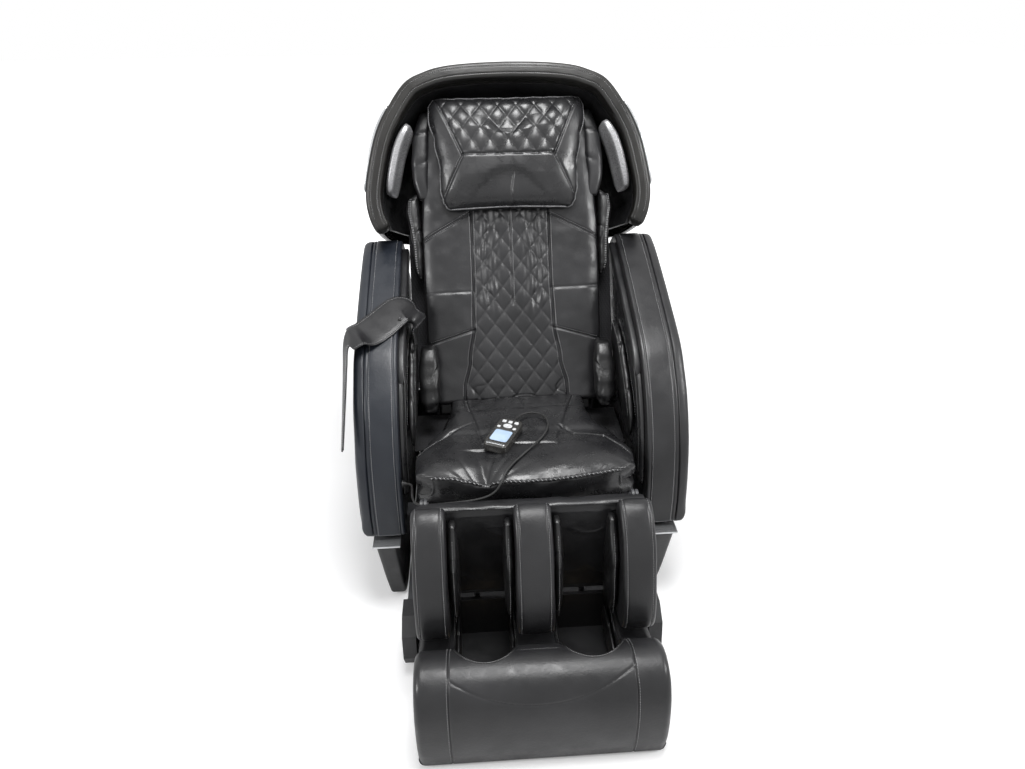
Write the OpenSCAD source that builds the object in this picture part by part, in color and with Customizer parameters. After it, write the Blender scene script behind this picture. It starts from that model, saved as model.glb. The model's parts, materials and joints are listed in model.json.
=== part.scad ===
// Massage chair: reclining back with a hood, padded arms, calf and foot massage unit.
// Millimetres. +X is the sitter's right seen from the front, the chair faces -Y, +Z is up,
// and the origin lies on the floor under the middle of the chair.

/* [Base frame] */
// Half distance between the centres of the two floor rails
rail_x = 270; // [255:1:285]
// Width of a rail and of a cross tube
tube_w = 30; // [24:1:34]
// Height of a rail and of a cross tube
tube_h = 40; // [34:1:46]
// Wall of the rails and cross tubes
tube_wall = 3; // [2:0.5:5]
// Height of the rubber feet
foot_h = 20; // [14:1:26]
// Radius of the rubber feet
foot_r = 22; // [16:1:26]
// Front end of the rails
rail_front = -400; // [-420:1:-390]
// Rear end of the rails
rail_back = 430; // [415:1:445]
// Thickness of the pivot ears and brackets
plate_t = 6; // [5:0.5:8]
// Radius of the transport wheels
wheel_r = 32; // [26:1:34]
// Width of the transport wheels
wheel_w = 20; // [16:1:24]
// Radius of the wheel axles
axle_r = 8; // [6:0.5:10]

/* [Seat] */
// Height of the seat cushion's edge above the floor
seat_h = 402; // [395:1:410]
// Thickness of the seat cushion
seat_t = 92; // [80:1:96]
// How far the seat cushion's middle rises above its edge
seat_crown = 14; // [6:1:20]
// Half width of the seat cushion at its widest
seat_hw = 246; // [238:1:250]
// Half width of the seat cushion between the hip airbags
seat_rear_hw = 172; // [160:1:176]
// Front of the seat cushion
seat_front = -288; // [-292:1:-280]
// Rear of the seat cushion
seat_rear = 56; // [46:1:62]
// Thickness of the steel seat pan
pan_t = 8; // [5:1:10]

/* [Arms] */
// Half width of the chair over its arms
arm_outer = 380; // [376:1:384]
// Half distance between the arms' inner faces
arm_inner = 280; // [278:1:284]
// Width of the leather strip along the top of an arm
strip_w = 75; // [66:1:82]
// Width of the side cover outside that strip
cover_w = 25; // [20:1:30]
// Thickness of the strip's padding
strip_t = 30; // [22:1:36]
// Height of the arms' highest point
arm_top = 724; // [716:1:730]
// Height of the arms' underside
arm_z = 206; // [204:1:214]
// Thickness of the quilted wall inside each arm
liner_t = 16; // [10:1:17]
// Thickness of a forearm airbag
forearm_t = 20; // [12:1:22]

/* [Side skirts] */
// Half width of the skirts at the top
skirt_top_hw = 354; // [348:1:360]
// Half width of the skirts at the floor
skirt_low_hw = 338; // [330:1:346]
// Wall of the skirts
skirt_wall = 4; // [3:0.5:6]
// Gap between the skirts and the floor
skirt_gap = 6; // [4:1:12]
// Height of the silver strip on top of each skirt
trim_h = 5; // [3:0.5:6]

/* [Back] */
// Lean of the back from the vertical when upright
lean = 28.2; // [26:0.2:30]
// Half width of the back pad
pad_hw = 222; // [214:1:226]
// Thickness of the back pad
pad_t = 54; // [44:1:56]
// Length of the back pad
pad_len = 700; // [680:1:710]
// Half width of the quilted panel down the middle of the back
panel_hw = 98; // [90:1:106]
// Half width of the rear shell between the arms
shell_hw = 250; // [244:1:254]
// Distance from the pad's face to the back of the rear shell
shell_depth = 200; // [190:1:206]
// Wall of the rear shell and of the hood
shell_wall = 5; // [4:0.5:7]
// Radius of the two guide rods of the massage carriage
guide_r = 8; // [6:0.5:10]
// Half distance between the guide rods
guide_x = 120; // [114:1:126]
// Radius of the massage rollers
roller_r = 28; // [24:1:30]
// Width of the massage rollers
roller_w = 30; // [24:1:34]

/* [Hood] */
// Width of the leather band round the hood's mouth
band_w = 38; // [32:1:44]
// Depth of the band from front to rear
band_d = 58; // [48:1:64]
// Thickness of the padded lining inside the hood
lining_t = 12; // [8:1:16]
// Width of the head pillow
pillow_w = 392; // [370:1:400]
// Thickness of the head pillow
pillow_t = 66; // [54:1:72]

/* [Calf unit] */
// Half width of the calf and foot units
leg_hw = 244; // [238:1:246]
// Width of an outer calf column
outer_col_w = 68; // [60:1:72]
// Width of the middle calf column
mid_col_w = 76; // [70:1:82]
// Thickness of the calf unit's back wall
calf_back_t = 15; // [10:1:18]
// Thickness of a calf airbag
calf_bag_t = 24; // [16:1:28]
// Radius of the calf unit's pivot pins
leg_pin_r = 8; // [6:0.5:9]

/* [Foot unit] */
// Half distance between the two foot wells
well_x = 105; // [102:1:107]
// Half width of a foot well
well_hw = 64; // [58:1:66]
// Height of the foot wells' floor
well_floor = 26; // [24:1:34]
// Thickness of a foot airbag
foot_bag_t = 12; // [8:1:16]
// Radius of the sole rollers
sole_r = 19; // [15:1:20]
// Radius of the rods that guide the foot unit
foot_rod_r = 8; // [6:0.5:9]

/* [Handset] */
// Width of the handset
remote_w = 58; // [52:1:64]
// Length of the handset
remote_l = 112; // [106:1:118]
// Thickness of the handset
remote_t = 22; // [18:1:26]
// How far a handset key stands out, which is also twice its travel
key_h = 2; // [1.6:0.1:2.4]
// Diameter of the handset's cord
cord_d = 5; // [4.6:0.1:5.4]

/* [Hidden] */

// Clearances: between soft neighbours, and round a shaft that turns or slides
gap = 0.3;
run = 0.05;

// Floor rails and cross tubes
rail_z = foot_h;
rail_top = foot_h + tube_h;
cross_y = [-230, 0, 180, 400];
rail_in = rail_x - tube_w / 2;
rail_out = rail_x + tube_w / 2;
post_x = 180;
bracket_y = [-120, 330];

// Pivot of the legrest, behind the top of the calf unit, and its swing from rest
leg_pivot = [-322, 380];
leg_swing = 80;
// Pivot of the back and its swing from rest
back_pivot = [160, 330];
back_swing = 43;
back_pin_r = 10;
ear_x = 206;
leg_ear_x = 215;

// The back's own frame: x across, y rearward from the pad's face, z up along the back
back_root = [70, 400];
function to_back(p) = [
    (p[0] - back_root[0]) * cos(lean) - (p[1] - back_root[1]) * sin(lean),
    (p[0] - back_root[0]) * sin(lean) + (p[1] - back_root[1]) * cos(lean)];
pivot_b = to_back(back_pivot);
module on_back() {
    translate([0, back_root[0], back_root[1]]) rotate([-lean, 0, 0]) children();
}

// Recline actuator: level, ahead of the pivot, working a lever below it
recline_x = -120;
recline_arm = 100;
recline_reach = recline_arm * tan(back_swing / 2);
actuator_r = 22;
rod_r = 9;
cross_pin_r = 6;

// Legrest actuator: its line passes the legrest pivot at leg_arm, square to the middle of the swing
leg_arm = 115;
leg_lever_back = 5;
leg_line = leg_swing / 2 - leg_lever_back;
leg_reach = leg_arm * tan(leg_swing / 2);

// ---- Shared geometry -------------------------------------------------------------------

// Catmull-Rom curve through a list of points, n steps between neighbours
function cr(a, b, c, d, t) = 0.5 * (2 * b + (c - a) * t + (2 * a - 5 * b + 4 * c - d) * t * t
    + (3 * b - a - 3 * c + d) * t * t * t);
function smooth(p, n) = [
    for (i = [0 : len(p) - 2]) for (k = [0 : n - 1])
        cr(p[max(i - 1, 0)], p[i], p[i + 1], p[min(i + 2, len(p) - 1)], k / n),
    p[len(p) - 1]];
// Value at x of a table of [x, value] rows, straight between rows
function look(t, x) = x <= t[0][0] ? t[0][1] : look_from(t, x, 0);
function look_from(t, x, i) = i >= len(t) - 1 ? t[len(t) - 1][1]
    : x <= t[i + 1][0] ? t[i][1] + (t[i + 1][1] - t[i][1]) * (x - t[i][0]) / (t[i + 1][0] - t[i][0])
    : look_from(t, x, i + 1);
// Points round a rounded box of half sizes a and b: e = 2 is an ellipse, 6 nearly a box
function spow(v, p) = sign(v) * pow(abs(v), p);
function ring(a, b, e, n) = [for (k = [0 : n - 1])
    [a * spow(cos(360 * (k + 0.5) / n), 2 / e), b * spow(sin(360 * (k + 0.5) / n), 2 / e)]];
// A smooth dip of the given depth and half width round c
function dip(x, c, w, depth) = abs(x - c) >= w ? 0 : depth * (1 + cos(180 * (x - c) / w)) / 2;
// Unit normal of a polyline at point i, to its left
function nrm(p, i) = let (d = p[min(i + 1, len(p) - 1)] - p[max(i - 1, 0)]) [-d[1], d[0]] / norm(d);
function inset(p, d) = [for (i = [0 : len(p) - 1]) p[i] + nrm(p, i) * d];
function centre(r) = [for (k = [0 : 2]) (min([for (p = r) p[k]]) + max([for (p = r) p[k]])) / 2];

// Closed solid through a list of rings of 3-D points, each ring with the same count and turn
module loft(rings) {
    n = len(rings[0]);
    m = len(rings);
    points = [for (r = rings) each r, centre(rings[0]), centre(rings[m - 1])];
    sides = [for (j = [0 : m - 2]) for (k = [0 : n - 1]) let (l = (k + 1) % n)
        each [[j * n + k, j * n + l, (j + 1) * n + l], [j * n + k, (j + 1) * n + l, (j + 1) * n + k]]];
    first = [for (k = [0 : n - 1]) [m * n, (k + 1) % n, k]];
    last = [for (k = [0 : n - 1]) [m * n + 1, (m - 1) * n + k, (m - 1) * n + (k + 1) % n]];
    solid(points, concat(sides, first, last));
}
// A polyhedron whose faces are turned to face outward whichever way they were listed
module solid(points, faces) {
    volume = [for (f = faces) points[f[0]] * cross(points[f[1]], points[f[2]])] * [for (f = faces) 1];
    polyhedron(points, volume > 0 ? [for (f = faces) [f[2], f[1], f[0]]] : faces, convexity = 6);
}
// Closed solid between two open sheets of points, given as rows of equal length
module sheet_solid(outer, inner) {
    m = len(outer);
    n = len(outer[0]);
    b = m * n;
    points = [for (r = outer) each r, for (r = inner) each r];
    skin = [for (j = [0 : m - 2]) for (k = [0 : n - 2]) let (a = j * n + k)
        each [[a, a + 1, a + n + 1], [a, a + n + 1, a + n],
            [b + a, b + a + n + 1, b + a + 1], [b + a, b + a + n, b + a + n + 1]]];
    ends = [for (k = [0 : n - 2]) let (z = (m - 1) * n + k)
        each [[k, b + k + 1, k + 1], [k, b + k, b + k + 1],
            [z, z + 1, b + z + 1], [z, b + z + 1, b + z]]];
    edges = [for (j = [0 : m - 2]) let (a = j * n, z = j * n + n - 1)
        each [[a, a + n, b + a + n], [a, b + a + n, b + a],
            [z, b + z + n, z + n], [z, b + z, b + z + n]]];
    solid(points, concat(skin, ends, edges));
}
module box(lo, hi) {
    translate(lo) cube(hi - lo);
}
// A plate cut to a side outline of [y, z] points, between x0 and x1
module side_plate(x0, x1) {
    translate([x0, 0, 0]) rotate([90, 0, 90]) linear_extrude(x1 - x0) children();
}
module bar_x(r, x0, x1, y, z) {
    translate([x0, y, z]) rotate([0, 90, 0]) cylinder(r = r, h = x1 - x0, $fn = 48);
}
module pair() {
    children();
    mirror([1, 0, 0]) children();
}

// ---- Side outline of the arms ----------------------------------------------------------

// The outline's heights are drawn for an arm from 206 to 724 and stretched to arm_z and arm_top
function arm_rows(rows) = [for (p = rows) [p[0], arm_z + (p[1] - 206) * (arm_top - arm_z) / 518]];
arm_points = arm_rows([[-222, 206], [-214, 300], [-184, 410], [-134, 498], [-90, 546], [-30, 595],
    [80, 645], [190, 690], [290, 724], [346, 722], [420, 650], [484, 510], [498, 360], [478, 206]]);
arm_line = smooth(arm_points, 2);
// The strip and the side cover share the arm's width in the ratio of their own widths
strip_x = arm_inner + (arm_outer - arm_inner) * strip_w / (strip_w + cover_w);
function arm_ring(x, d) = [for (p = inset(arm_line, -d)) [x, p[0], max(p[1], arm_z)]];

// ---- Base ------------------------------------------------------------------------------

module tube_y(x, y0, y1) {
    difference() {
        box([x - tube_w / 2, y0, rail_z], [x + tube_w / 2, y1, rail_top]);
        box([x - tube_w / 2 + tube_wall, y0 - 1, rail_z + tube_wall],
            [x + tube_w / 2 - tube_wall, y1 + 1, rail_top - tube_wall]);
    }
}
module cross_tube(y) {
    box([-rail_in, y - tube_w / 2, rail_z], [rail_in, y + tube_w / 2, rail_top]);
}
// Upright ears that hold the back's pivot pins
module back_ear(x) {
    side_plate(x, x + plate_t) difference() {
        union() {
            polygon([[cross_y[2] - 15, rail_top], [cross_y[2] + 15, rail_top],
                [back_pivot[0] + 18, back_pivot[1]], [back_pivot[0] - 18, back_pivot[1]]]);
            translate(back_pivot) circle(r = 18, $fn = 48);
        }
        translate(back_pivot) circle(r = back_pin_r, $fn = 48);
    }
}
// Ears that reach forward and up to the legrest's pivot pins
module leg_ear(x) {
    side_plate(x, x + plate_t) difference() {
        union() {
            polygon([[cross_y[0] - 15, rail_top], [cross_y[0] + 15, rail_top],
                [leg_pivot[0] + 14, leg_pivot[1] - 6], [leg_pivot[0] - 8, leg_pivot[1] - 14]]);
            translate(leg_pivot) circle(r = 15, $fn = 48);
        }
        translate(leg_pivot) circle(r = leg_pin_r, $fn = 48);
    }
}
recline_anchor = [cross_y[0] + 62, back_pivot[1] - recline_arm];
leg_dir = [cos(leg_line), -sin(leg_line)];
leg_foot_pt = leg_pivot - leg_arm * [sin(leg_line), cos(leg_line)];
leg_pin_rest = leg_foot_pt + leg_reach * leg_dir;
leg_anchor = leg_pin_rest + 338 * leg_dir;
module clevis(x, foot, tip, r) {
    for (s = [-1, 1]) side_plate(x + s * 10.5 - 2, x + s * 10.5 + 2) {
        polygon([foot[0], foot[1], tip + [r, 0], tip - [r, 0]]);
        translate(tip) circle(r = r, $fn = 32);
    }
    bar_x(5, x - 12, x + 12, tip[0], tip[1]);
}
module base_frame() {
    color("dimgray") {
        pair() {
            tube_y(rail_x, rail_front, rail_back);
            back_ear(ear_x);
            leg_ear(leg_ear_x);
            for (y = [cross_y[0], cross_y[1]])
                box([post_x - 12, y - 12, rail_top], [post_x + 12, y + 12, pan_z]);
            for (y = bracket_y) {
                box([rail_in + 4, y - 13, rail_top], [rail_out - 4, y + 13, arm_z - plate_t]);
                box([rail_in + 4, y - 20, arm_z - plate_t], [arm_outer - 10, y + 20, arm_z]);
            }
            bar_x(axle_r, rail_out - 1, rail_out + wheel_w + 6, wheel_y, wheel_z);
            bar_x(axle_r + 4, rail_out + wheel_w + 3.5, rail_out + wheel_w + 8, wheel_y, wheel_z);
        }
        for (y = cross_y) cross_tube(y);
        pair() tray();
        clevis(recline_x, [[cross_y[0] - 12, rail_top - 1], [cross_y[0] + 12, rail_top - 1]],
            recline_anchor, 12);
        clevis(0, [[cross_y[1] - 13, rail_z + 4], [cross_y[1] - 13, rail_top]], leg_anchor, 12);
    }
}
wheel_z = wheel_r + 12;
wheel_y = rail_back - 20;
module wheel_part(s) {
    color("black") difference() {
        bar_x(wheel_r, min(s * (rail_out + 3), s * (rail_out + 3 + wheel_w)),
            max(s * (rail_out + 3), s * (rail_out + 3 + wheel_w)), wheel_y, wheel_z);
        bar_x(axle_r + run, -rail_out - wheel_w - 9, rail_out + wheel_w + 9, wheel_y, wheel_z);
    }
}
module rubber_feet() {
    color("black") pair() for (y = [rail_front + 40, rail_back - 70])
        translate([rail_x, y, 0]) cylinder(r = foot_r, h = foot_h, $fn = 48);
}
module rail_nose_covers() {
    lo = rail_top + gap;
    color([0.09, 0.09, 0.1]) pair() side_plate(rail_in, rail_out) polygon(
        smooth([[rail_front + 90, lo], [rail_front + 60, lo + 68], [rail_front + 10, lo + 70],
            [rail_front - 26, lo + 44], [rail_front - 38, lo - 10], [rail_front - 20, rail_z - 6],
            [rail_front - gap, rail_z - 6], [rail_front - gap, lo]], 1));
}

// Side skirts: a hollow panel with a front wall, drawn in towards the floor
skirt_in = rail_out + 8;
skirt_back = 448;
trim_proud = 1;
skirt_top = arm_z - plate_t - trim_h - gap;
function skirt_ring(t, w) = let (hw = skirt_low_hw + (skirt_top_hw - skirt_low_hw) * t - w,
    z = skirt_gap + (skirt_top - skirt_gap) * t, y = -206 - 40 * t + w, x = skirt_in - (w > 0 ? 20 : 0))
    [[x, y, z], [hw, y, z], [hw, skirt_back - w, z], [x, skirt_back - w, z]];
module skirt() {
    difference() {
        loft([skirt_ring(0, 0), skirt_ring(1, 0)]);
        loft([skirt_ring(-0.1, skirt_wall), skirt_ring(0.97, skirt_wall)]);
    }
}
module skirt_trims() {
    color("silver") pair() box([skirt_in, -246, arm_z - plate_t - trim_h],
        [strip_x + trim_proud, skirt_back, arm_z - plate_t - gap]);
}
module rear_cover() {
    color([0.1, 0.1, 0.11]) difference() {
        box([-rail_in + gap, cross_y[3] + tube_w / 2 + gap, rail_z],
            [rail_in - gap, cover_y, cover_top]);
        translate([inlet_x, 0, inlet_z]) box([-14 - gap, 400, -11 - gap], [14 + gap, 450, 11 + gap]);
        translate([switch_x, 0, inlet_z]) box([-11 - gap, 400, -14 - gap], [11 + gap, 450, 14 + gap]);
    }
}
cover_top = 290;
inlet_x = 150;
switch_x = 196;
inlet_z = 110;
cover_y = cross_y[3] + tube_w / 2 + 5;
module power_inlet() {
    color([0.05, 0.05, 0.05]) translate([inlet_x, cover_y, inlet_z]) difference() {
        union() {
            box([-14, -24, -11], [14, 0, 11]);
            box([-18, gap, -15], [18, 3, 15]);
            box([-14, -1, -11], [14, 1, 11]);
        }
        box([-10, -18, -7], [10, 4, 7]);
    }
}
module rocker_switch() {
    color([0.6, 0.05, 0.05]) translate([switch_x, cover_y - 8, inlet_z]) intersection() {
        box([-10.5, -8, -13.5], [10.5, 14, 13.5]);
        rotate([0, 90, 0]) translate([0, 0, -10.5]) linear_extrude(21)
            polygon([[-11.5, 0], [-11.5, 13], [0, 9], [11.5, 10.5], [11.5, 0], [6, -6], [-6, -6]]);
    }
}

// ---- Seat ------------------------------------------------------------------------------

pan_z = seat_h - seat_t - pan_t - gap;
module seat_pan() {
    color("dimgray")
        box([-rail_in + 30, seat_front + 20, pan_z], [rail_in - 30, seat_rear + 34, pan_z + pan_t]);
}
// Half width of the seat along its length, and how its top and underside run at the front
seat_plan = [[seat_front, seat_hw - 40], [seat_front + 8, seat_hw - 14], [seat_front + 28, seat_hw],
    [seat_front + 110, seat_hw + 2], [-120, seat_hw - 22], [-60, seat_rear_hw + 12],
    [0, seat_rear_hw], [seat_rear, seat_rear_hw - 4]];
function seat_top(x, y) = seat_h + seat_crown * max(0, 1 - pow(x / seat_hw, 4)) * sin(
    180 * min(1, max(0, (seat_rear - y + 20) / (seat_rear - seat_front + 30))))
    - dip(x, -96, 34, 9) * (y < -180 ? 1 : 0.4) - dip(y, -118, 16, 4);
module seat_cushion() {
    n = 36;
    ys = [seat_rear, seat_rear - 6, seat_rear - 30, 0, -30, -60, -90, -118, -150, -180, -210, -240,
        seat_front + 26, seat_front + 10, seat_front + 2, seat_front];
    bottom = pan_z + pan_t + gap;
    color([0.1, 0.1, 0.11]) loft([for (y = ys) let (w = look(seat_plan, y),
            e = y > seat_rear - 3 ? 8 : y < seat_front + 1 ? 16 : y < seat_front + 9 ? 6 : 0)
        [for (p = ring(w - e, 1, 5, n)) let (up = p[1] > 0, top = seat_top(p[0], y) - e,
                low = bottom + (y < seat_front + 30 ? (seat_front + 30 - y) * 1.1 + e * 0.3 : 0))
            [p[0], y, (top + low) / 2 + (top - low) / 2 * p[1]]]]);
}
// Apron of soft leather that hangs before the seat's lower front edge, between the legrest's ears
apron_hw = leg_ear_x - 1;
apron_t = 7;
module knee_apron() {
    low = leg_pivot[1] - 78;
    high = seat_h - 50;
    xs = [-1, -0.97, -0.62, -0.32, 0, 0.32, 0.62, 0.97, 1];
    color([0.07, 0.07, 0.08]) loft([for (u = xs) let (e = abs(u) == 1 ? 0.5 : 1, fold = 1.2 * sin(720 * u))
        [for (p = ring(apron_t / 2 * e, (high - low) / 2 * (e + 1) / 2, 4, 14))
            [apron_hw * u, seat_front - gap - apron_t / 2 + p[0] - max(0, fold) * (p[0] < 0 ? 1 : 0),
                (high + low) / 2 + p[1]]]]);
}

// ---- Equipment under the seat ----------------------------------------------------------

module tray() {
    box([66, cross_y[0] + tube_w / 2, rail_top - 2], [post_x - 14, cross_y[1] - tube_w / 2, rail_top]);
}
module control_box() {
    color("darkgreen") {
        box([-post_x + 16, -190, rail_top], [-72, -40, rail_top + 50]);
        for (k = [0 : 5]) box([-84, -180 + k * 24, rail_top + 49], [-78, -166 + k * 24, rail_top + 56]);
    }
}
module air_pump() {
    color("gray") {
        box([74, -190, rail_top], [post_x - 18, -60, rail_top + 74]);
        for (k = [0 : 3]) translate([84 + k * 22, -61, rail_top + 40]) rotate([-90, 0, 0])
            cylinder(r = 5, h = 18, $fn = 32);
    }
}
// An electric cylinder along +Y with its rod bore; y = 0 is the rod's cross pin at rest
module actuator_body(front, back, eye) {
    difference() {
        union() {
            translate([0, front, 0]) rotate([-90, 0, 0]) cylinder(r = actuator_r, h = back - front,
                $fn = 48);
            translate([-40, back - 120, 0]) rotate([-90, 0, 0]) cylinder(r = 18, h = 90, $fn = 48);
            box([-40, back - 60, -10], [0, back - 40, 10]);
            box([-8, back - 4, -7], [8, eye, 7]);
            bar_x(12, -8, 8, eye, 0);
        }
        translate([0, front - 1, 0]) rotate([-90, 0, 0]) cylinder(r = rod_r + run,
            h = back - front - 20, $fn = 48);
        bar_x(5.2, -20, 20, eye, 0);
    }
}
// The rod: an eye with a cross pin at y = 0 and a shaft back to y = len
module actuator_rod(len) {
    translate([0, 4, 0]) rotate([-90, 0, 0]) cylinder(r = rod_r, h = len - 4, $fn = 48);
    bar_x(12, -8, 8, 0, 0);
    bar_x(cross_pin_r, -23, 23, 0, 0);
}
recline_pin = [back_pivot[0] + recline_reach, back_pivot[1] - recline_arm];
recline_len = recline_pin[0] - recline_anchor[0];
module recline_place() {
    translate([recline_x, recline_pin[0], recline_pin[1]]) mirror([0, 1, 0]) children();
}
module legrest_place() {
    translate([0, leg_pin_rest[0], leg_pin_rest[1]]) rotate([-leg_line, 0, 0]) children();
}
module recline_actuator() {
    color("silver") recline_place() actuator_body(2 * recline_reach + 24, recline_len - 16, recline_len);
}
module legrest_actuator() {
    color("silver") legrest_place() actuator_body(56, 322, 338);
}

// ---- Arms ------------------------------------------------------------------------------

module arm_core() {
    color("dimgray") difference() {
        side_plate(arm_inner + 3, strip_x) intersection() {
            polygon(inset(arm_line, -strip_t - gap));
            translate([-300, arm_z]) square([900, 600]);
        }
        side_plate(arm_inner + 8, strip_x + 1) intersection() {
            polygon(inset(arm_line, -strip_t - 6));
            translate([-300, arm_z + 6]) square([900, 600]);
        }
    }
}
// Gland on the left arm's inner face, where the handset's cord goes in
gland_at = [-arm_inner + gap, -190, 336];
module cord_gland() {
    color("black") translate(gland_at) rotate([0, 90, 0]) difference() {
        union() {
            cylinder(r = 9, h = 3, $fn = 40);
            cylinder(r1 = 7, r2 = cord_d / 2 + 1.4, h = 10, $fn = 40);
        }
        translate([0, 0, -1]) cylinder(r = cord_d / 2 + 0.5, h = 14, $fn = 40);
    }
}
// The padded strip follows the arm's outline from its front foot over the top to its rear foot
module arm_strip() {
    inner = inset(arm_line, -strip_t);
    function edge(i, x, c) = let (p = arm_line[i] + (inner[i] - arm_line[i]) * c) [x, p[0], max(p[1],
        arm_z)];
    color([0.11, 0.11, 0.12]) loft([for (i = [0 : len(arm_line) - 1]) [
        edge(i, arm_inner, 1), edge(i, arm_inner, 0.14), edge(i, arm_inner + 5, 0),
        edge(i, strip_x - 5, 0), edge(i, strip_x, 0.14), edge(i, strip_x, 1)]]);
}
// The outer side cover: a padded tray whose edge rolls over
module arm_cover() {
    x0 = strip_x + gap;
    w = arm_outer - x0;
    steps = [[x0, 0], [x0 + w * 0.28, 0], [x0 + w * 0.72, 3], [x0 + w * 0.92, 9], [arm_outer, 18]];
    color([0.1, 0.1, 0.11]) difference() {
        loft([for (s = steps) arm_ring(s[0], s[1])]);
        side_plate(x0 - 1, x0 + w * 0.6) intersection() {
            polygon(inset(arm_line, -strip_t));
            translate([-300, arm_z + 10]) square([900, 600]);
        }
    }
}
liner_x = arm_inner - gap;
liner_line = smooth(arm_rows([[-186, 300], [-160, 400], [-118, 480], [-60, 540], [20, 592], [120, 634],
    [210, 668], [290, 676], [340, 600], [360, 480], [350, 330], [250, 300]]), 2);
module arm_liner() {
    steps = [[liner_x, 0], [liner_x - 4, 0], [liner_x - liner_t + 3, 3], [liner_x - liner_t, 8]];
    color([0.07, 0.07, 0.08]) loft([for (s = steps) [for (p = inset(liner_line, -s[1])) [s[0], p[0],
        p[1]]]]);
}
// Forearm airbags: long pads under the arm's edge, gathered in folds
module forearm_airbags() {
    x1 = liner_x - liner_t - gap;
    n = 12;
    color([0.06, 0.06, 0.07]) pair() loft([for (k = [0 : 7]) let (v = k / 7, y = -118 + 250 * v,
            z = look([[-120, 440], [20, 520], [140, 570]], y), e = k == 0 || k == 7 ? 0.5 : 1,
            thick = forearm_t * e * (k % 2 == 0 ? 0.8 : 1))
        [for (p = ring(thick / 2, 52 * e, 3, n)) [x1 - thick / 2 - p[0], y, z - 20 + p[1]]]]);
}
// Hip airbags: crumpled bags in the corners between seat, back and arms
module hip_airbags() {
    n = 12;
    x_in = seat_rear_hw + 16;
    x_out = liner_x - liner_t - forearm_t - 2 * gap + 0.8;
    color([0.06, 0.06, 0.07]) pair() loft([for (k = [0 : 7]) let (v = k / 7, z = 408 + 130 * v,
            e = k == 0 || k == 7 ? 0.6 : k % 2 == 0 ? 1 : 0.88, half = (x_out - x_in) / 2 * e,
            y = look([[408, 10], [470, 36], [540, 84]], z))
        [for (p = ring(half, 40 * e, 3, n)) [x_out - half + p[0], y + p[1] * (1 - 0.3 * v), z]]]);
}
// Strap laid across the left arm, with its tail hanging outside
strap_w = 74;
strap_t = 3;
strap_mid = [[41 - arm_inner, 66, 570], [37 - arm_inner, 70, 600], [24 - arm_inner, 74, 633],
    [4 - arm_inner, 75, 648], [-38 - arm_inner, 38, 628.3], [30 - arm_outer, 10, 622],
    [6 - arm_outer, -8, 625.4], [-9.5 - arm_outer, -18, 604.8], [-9 - arm_outer, -60, 567],
    [-7 - arm_outer, -110, 527], [-7 - arm_outer, -160, 490], [-8 - arm_outer, -212, 452]];
function strap_up(p) = p[0] > 30 - arm_inner || p[0] < -arm_outer ? [-1, 0, 0.1]
    : p[0] > 10 - arm_inner ? [0.6, -0.3, 0.7] : [0, -0.42, 0.91];
module arm_strap() {
    mid = smooth(strap_mid, 2);
    n = len(mid) - 1;
    color([0.08, 0.08, 0.09]) loft([for (i = [0 : n]) let (d = mid[min(i + 1, n)] - mid[max(i - 1, 0)],
            t = d / norm(d), c = cross(t, strap_up(mid[i])), s = c / norm(c), o = cross(s, t),
            w = strap_w / 2 * (i > n - 2 ? 0.3 : i > n - 6 ? 0.8 : 1))
        [for (q = [[-w, 0], [w, 0], [w, strap_t], [-w, strap_t]]) mid[i] + s * q[0] + o * q[1]]]);
}

// ---- Back ------------------------------------------------------------------------------

back_rail_x = 172;
back_rail_w = 25;
rail_t = [pivot_b[0] - 20, pivot_b[0] + 20];
back_low = -46;
back_high = 640;
carriage_s = 320;
carriage_travel = 190;
guide_ends = [0, back_high - 20];
module back_frame() {
    color("dimgray") {
        on_back() {
            pair() {
                box([back_rail_x, rail_t[0], back_low], [back_rail_x + back_rail_w, rail_t[1], back_high]);
                translate([guide_x, pivot_b[0], guide_ends[0] - 1]) cylinder(r = guide_r,
                    h = guide_ends[1] - guide_ends[0] + 2, $fn = 48);
            }
            for (s = [guide_ends[0] - 24, guide_ends[1]])
                box([-back_rail_x, rail_t[0] + 6, s], [back_rail_x, rail_t[1] - 6, s + 24]);
            for (s = [guide_ends[0] - 22, guide_ends[1] + 2]) box([-150, pad_t + gap, s], [150,
                rail_t[0] + 7, s + 20]);
            pair() {
                for (s = [190, 380]) box([back_rail_x + back_rail_w, 100, s],
                    [shell_hw - shell_wall - 1.6, 122, s + 30]);
                box([60, rail_t[1] - 7, guide_ends[1] + 1], [84, hood_depth - shell_wall - gap,
                    guide_ends[1] + 22]);
            }
        }
        pair() bar_x(back_pin_r - run, back_rail_x + 5, ear_x + plate_t + 4, back_pivot[0], back_pivot[1]);
        for (s = [-1, 1]) side_plate(recline_x + s * 14.5 - 3, recline_x + s * 14.5 + 3) recline_lever();
    }
}
// Lever below the back's pivot, with the slot in which the rod's cross pin rides
module recline_lever() {
    difference() {
        union() {
            hull() {
                translate(back_pivot) rotate(back_swing / 2) translate([0,
                    -recline_arm - 4]) circle(r = 20, $fn = 32);
                translate(back_pivot + [-14, 8]) circle(r = 14, $fn = 32);
            }
        }
        translate(back_pivot) rotate(back_swing / 2) hull() for (r = [recline_arm - 2,
                recline_arm / cos(back_swing / 2) + 2])
            translate([0, -r]) circle(r = cross_pin_r + 1.4, $fn = 24);
    }
}
module recline_rod() {
    color("gainsboro") recline_place() actuator_rod(recline_len - 40 - 2 * recline_reach);
}
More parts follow.
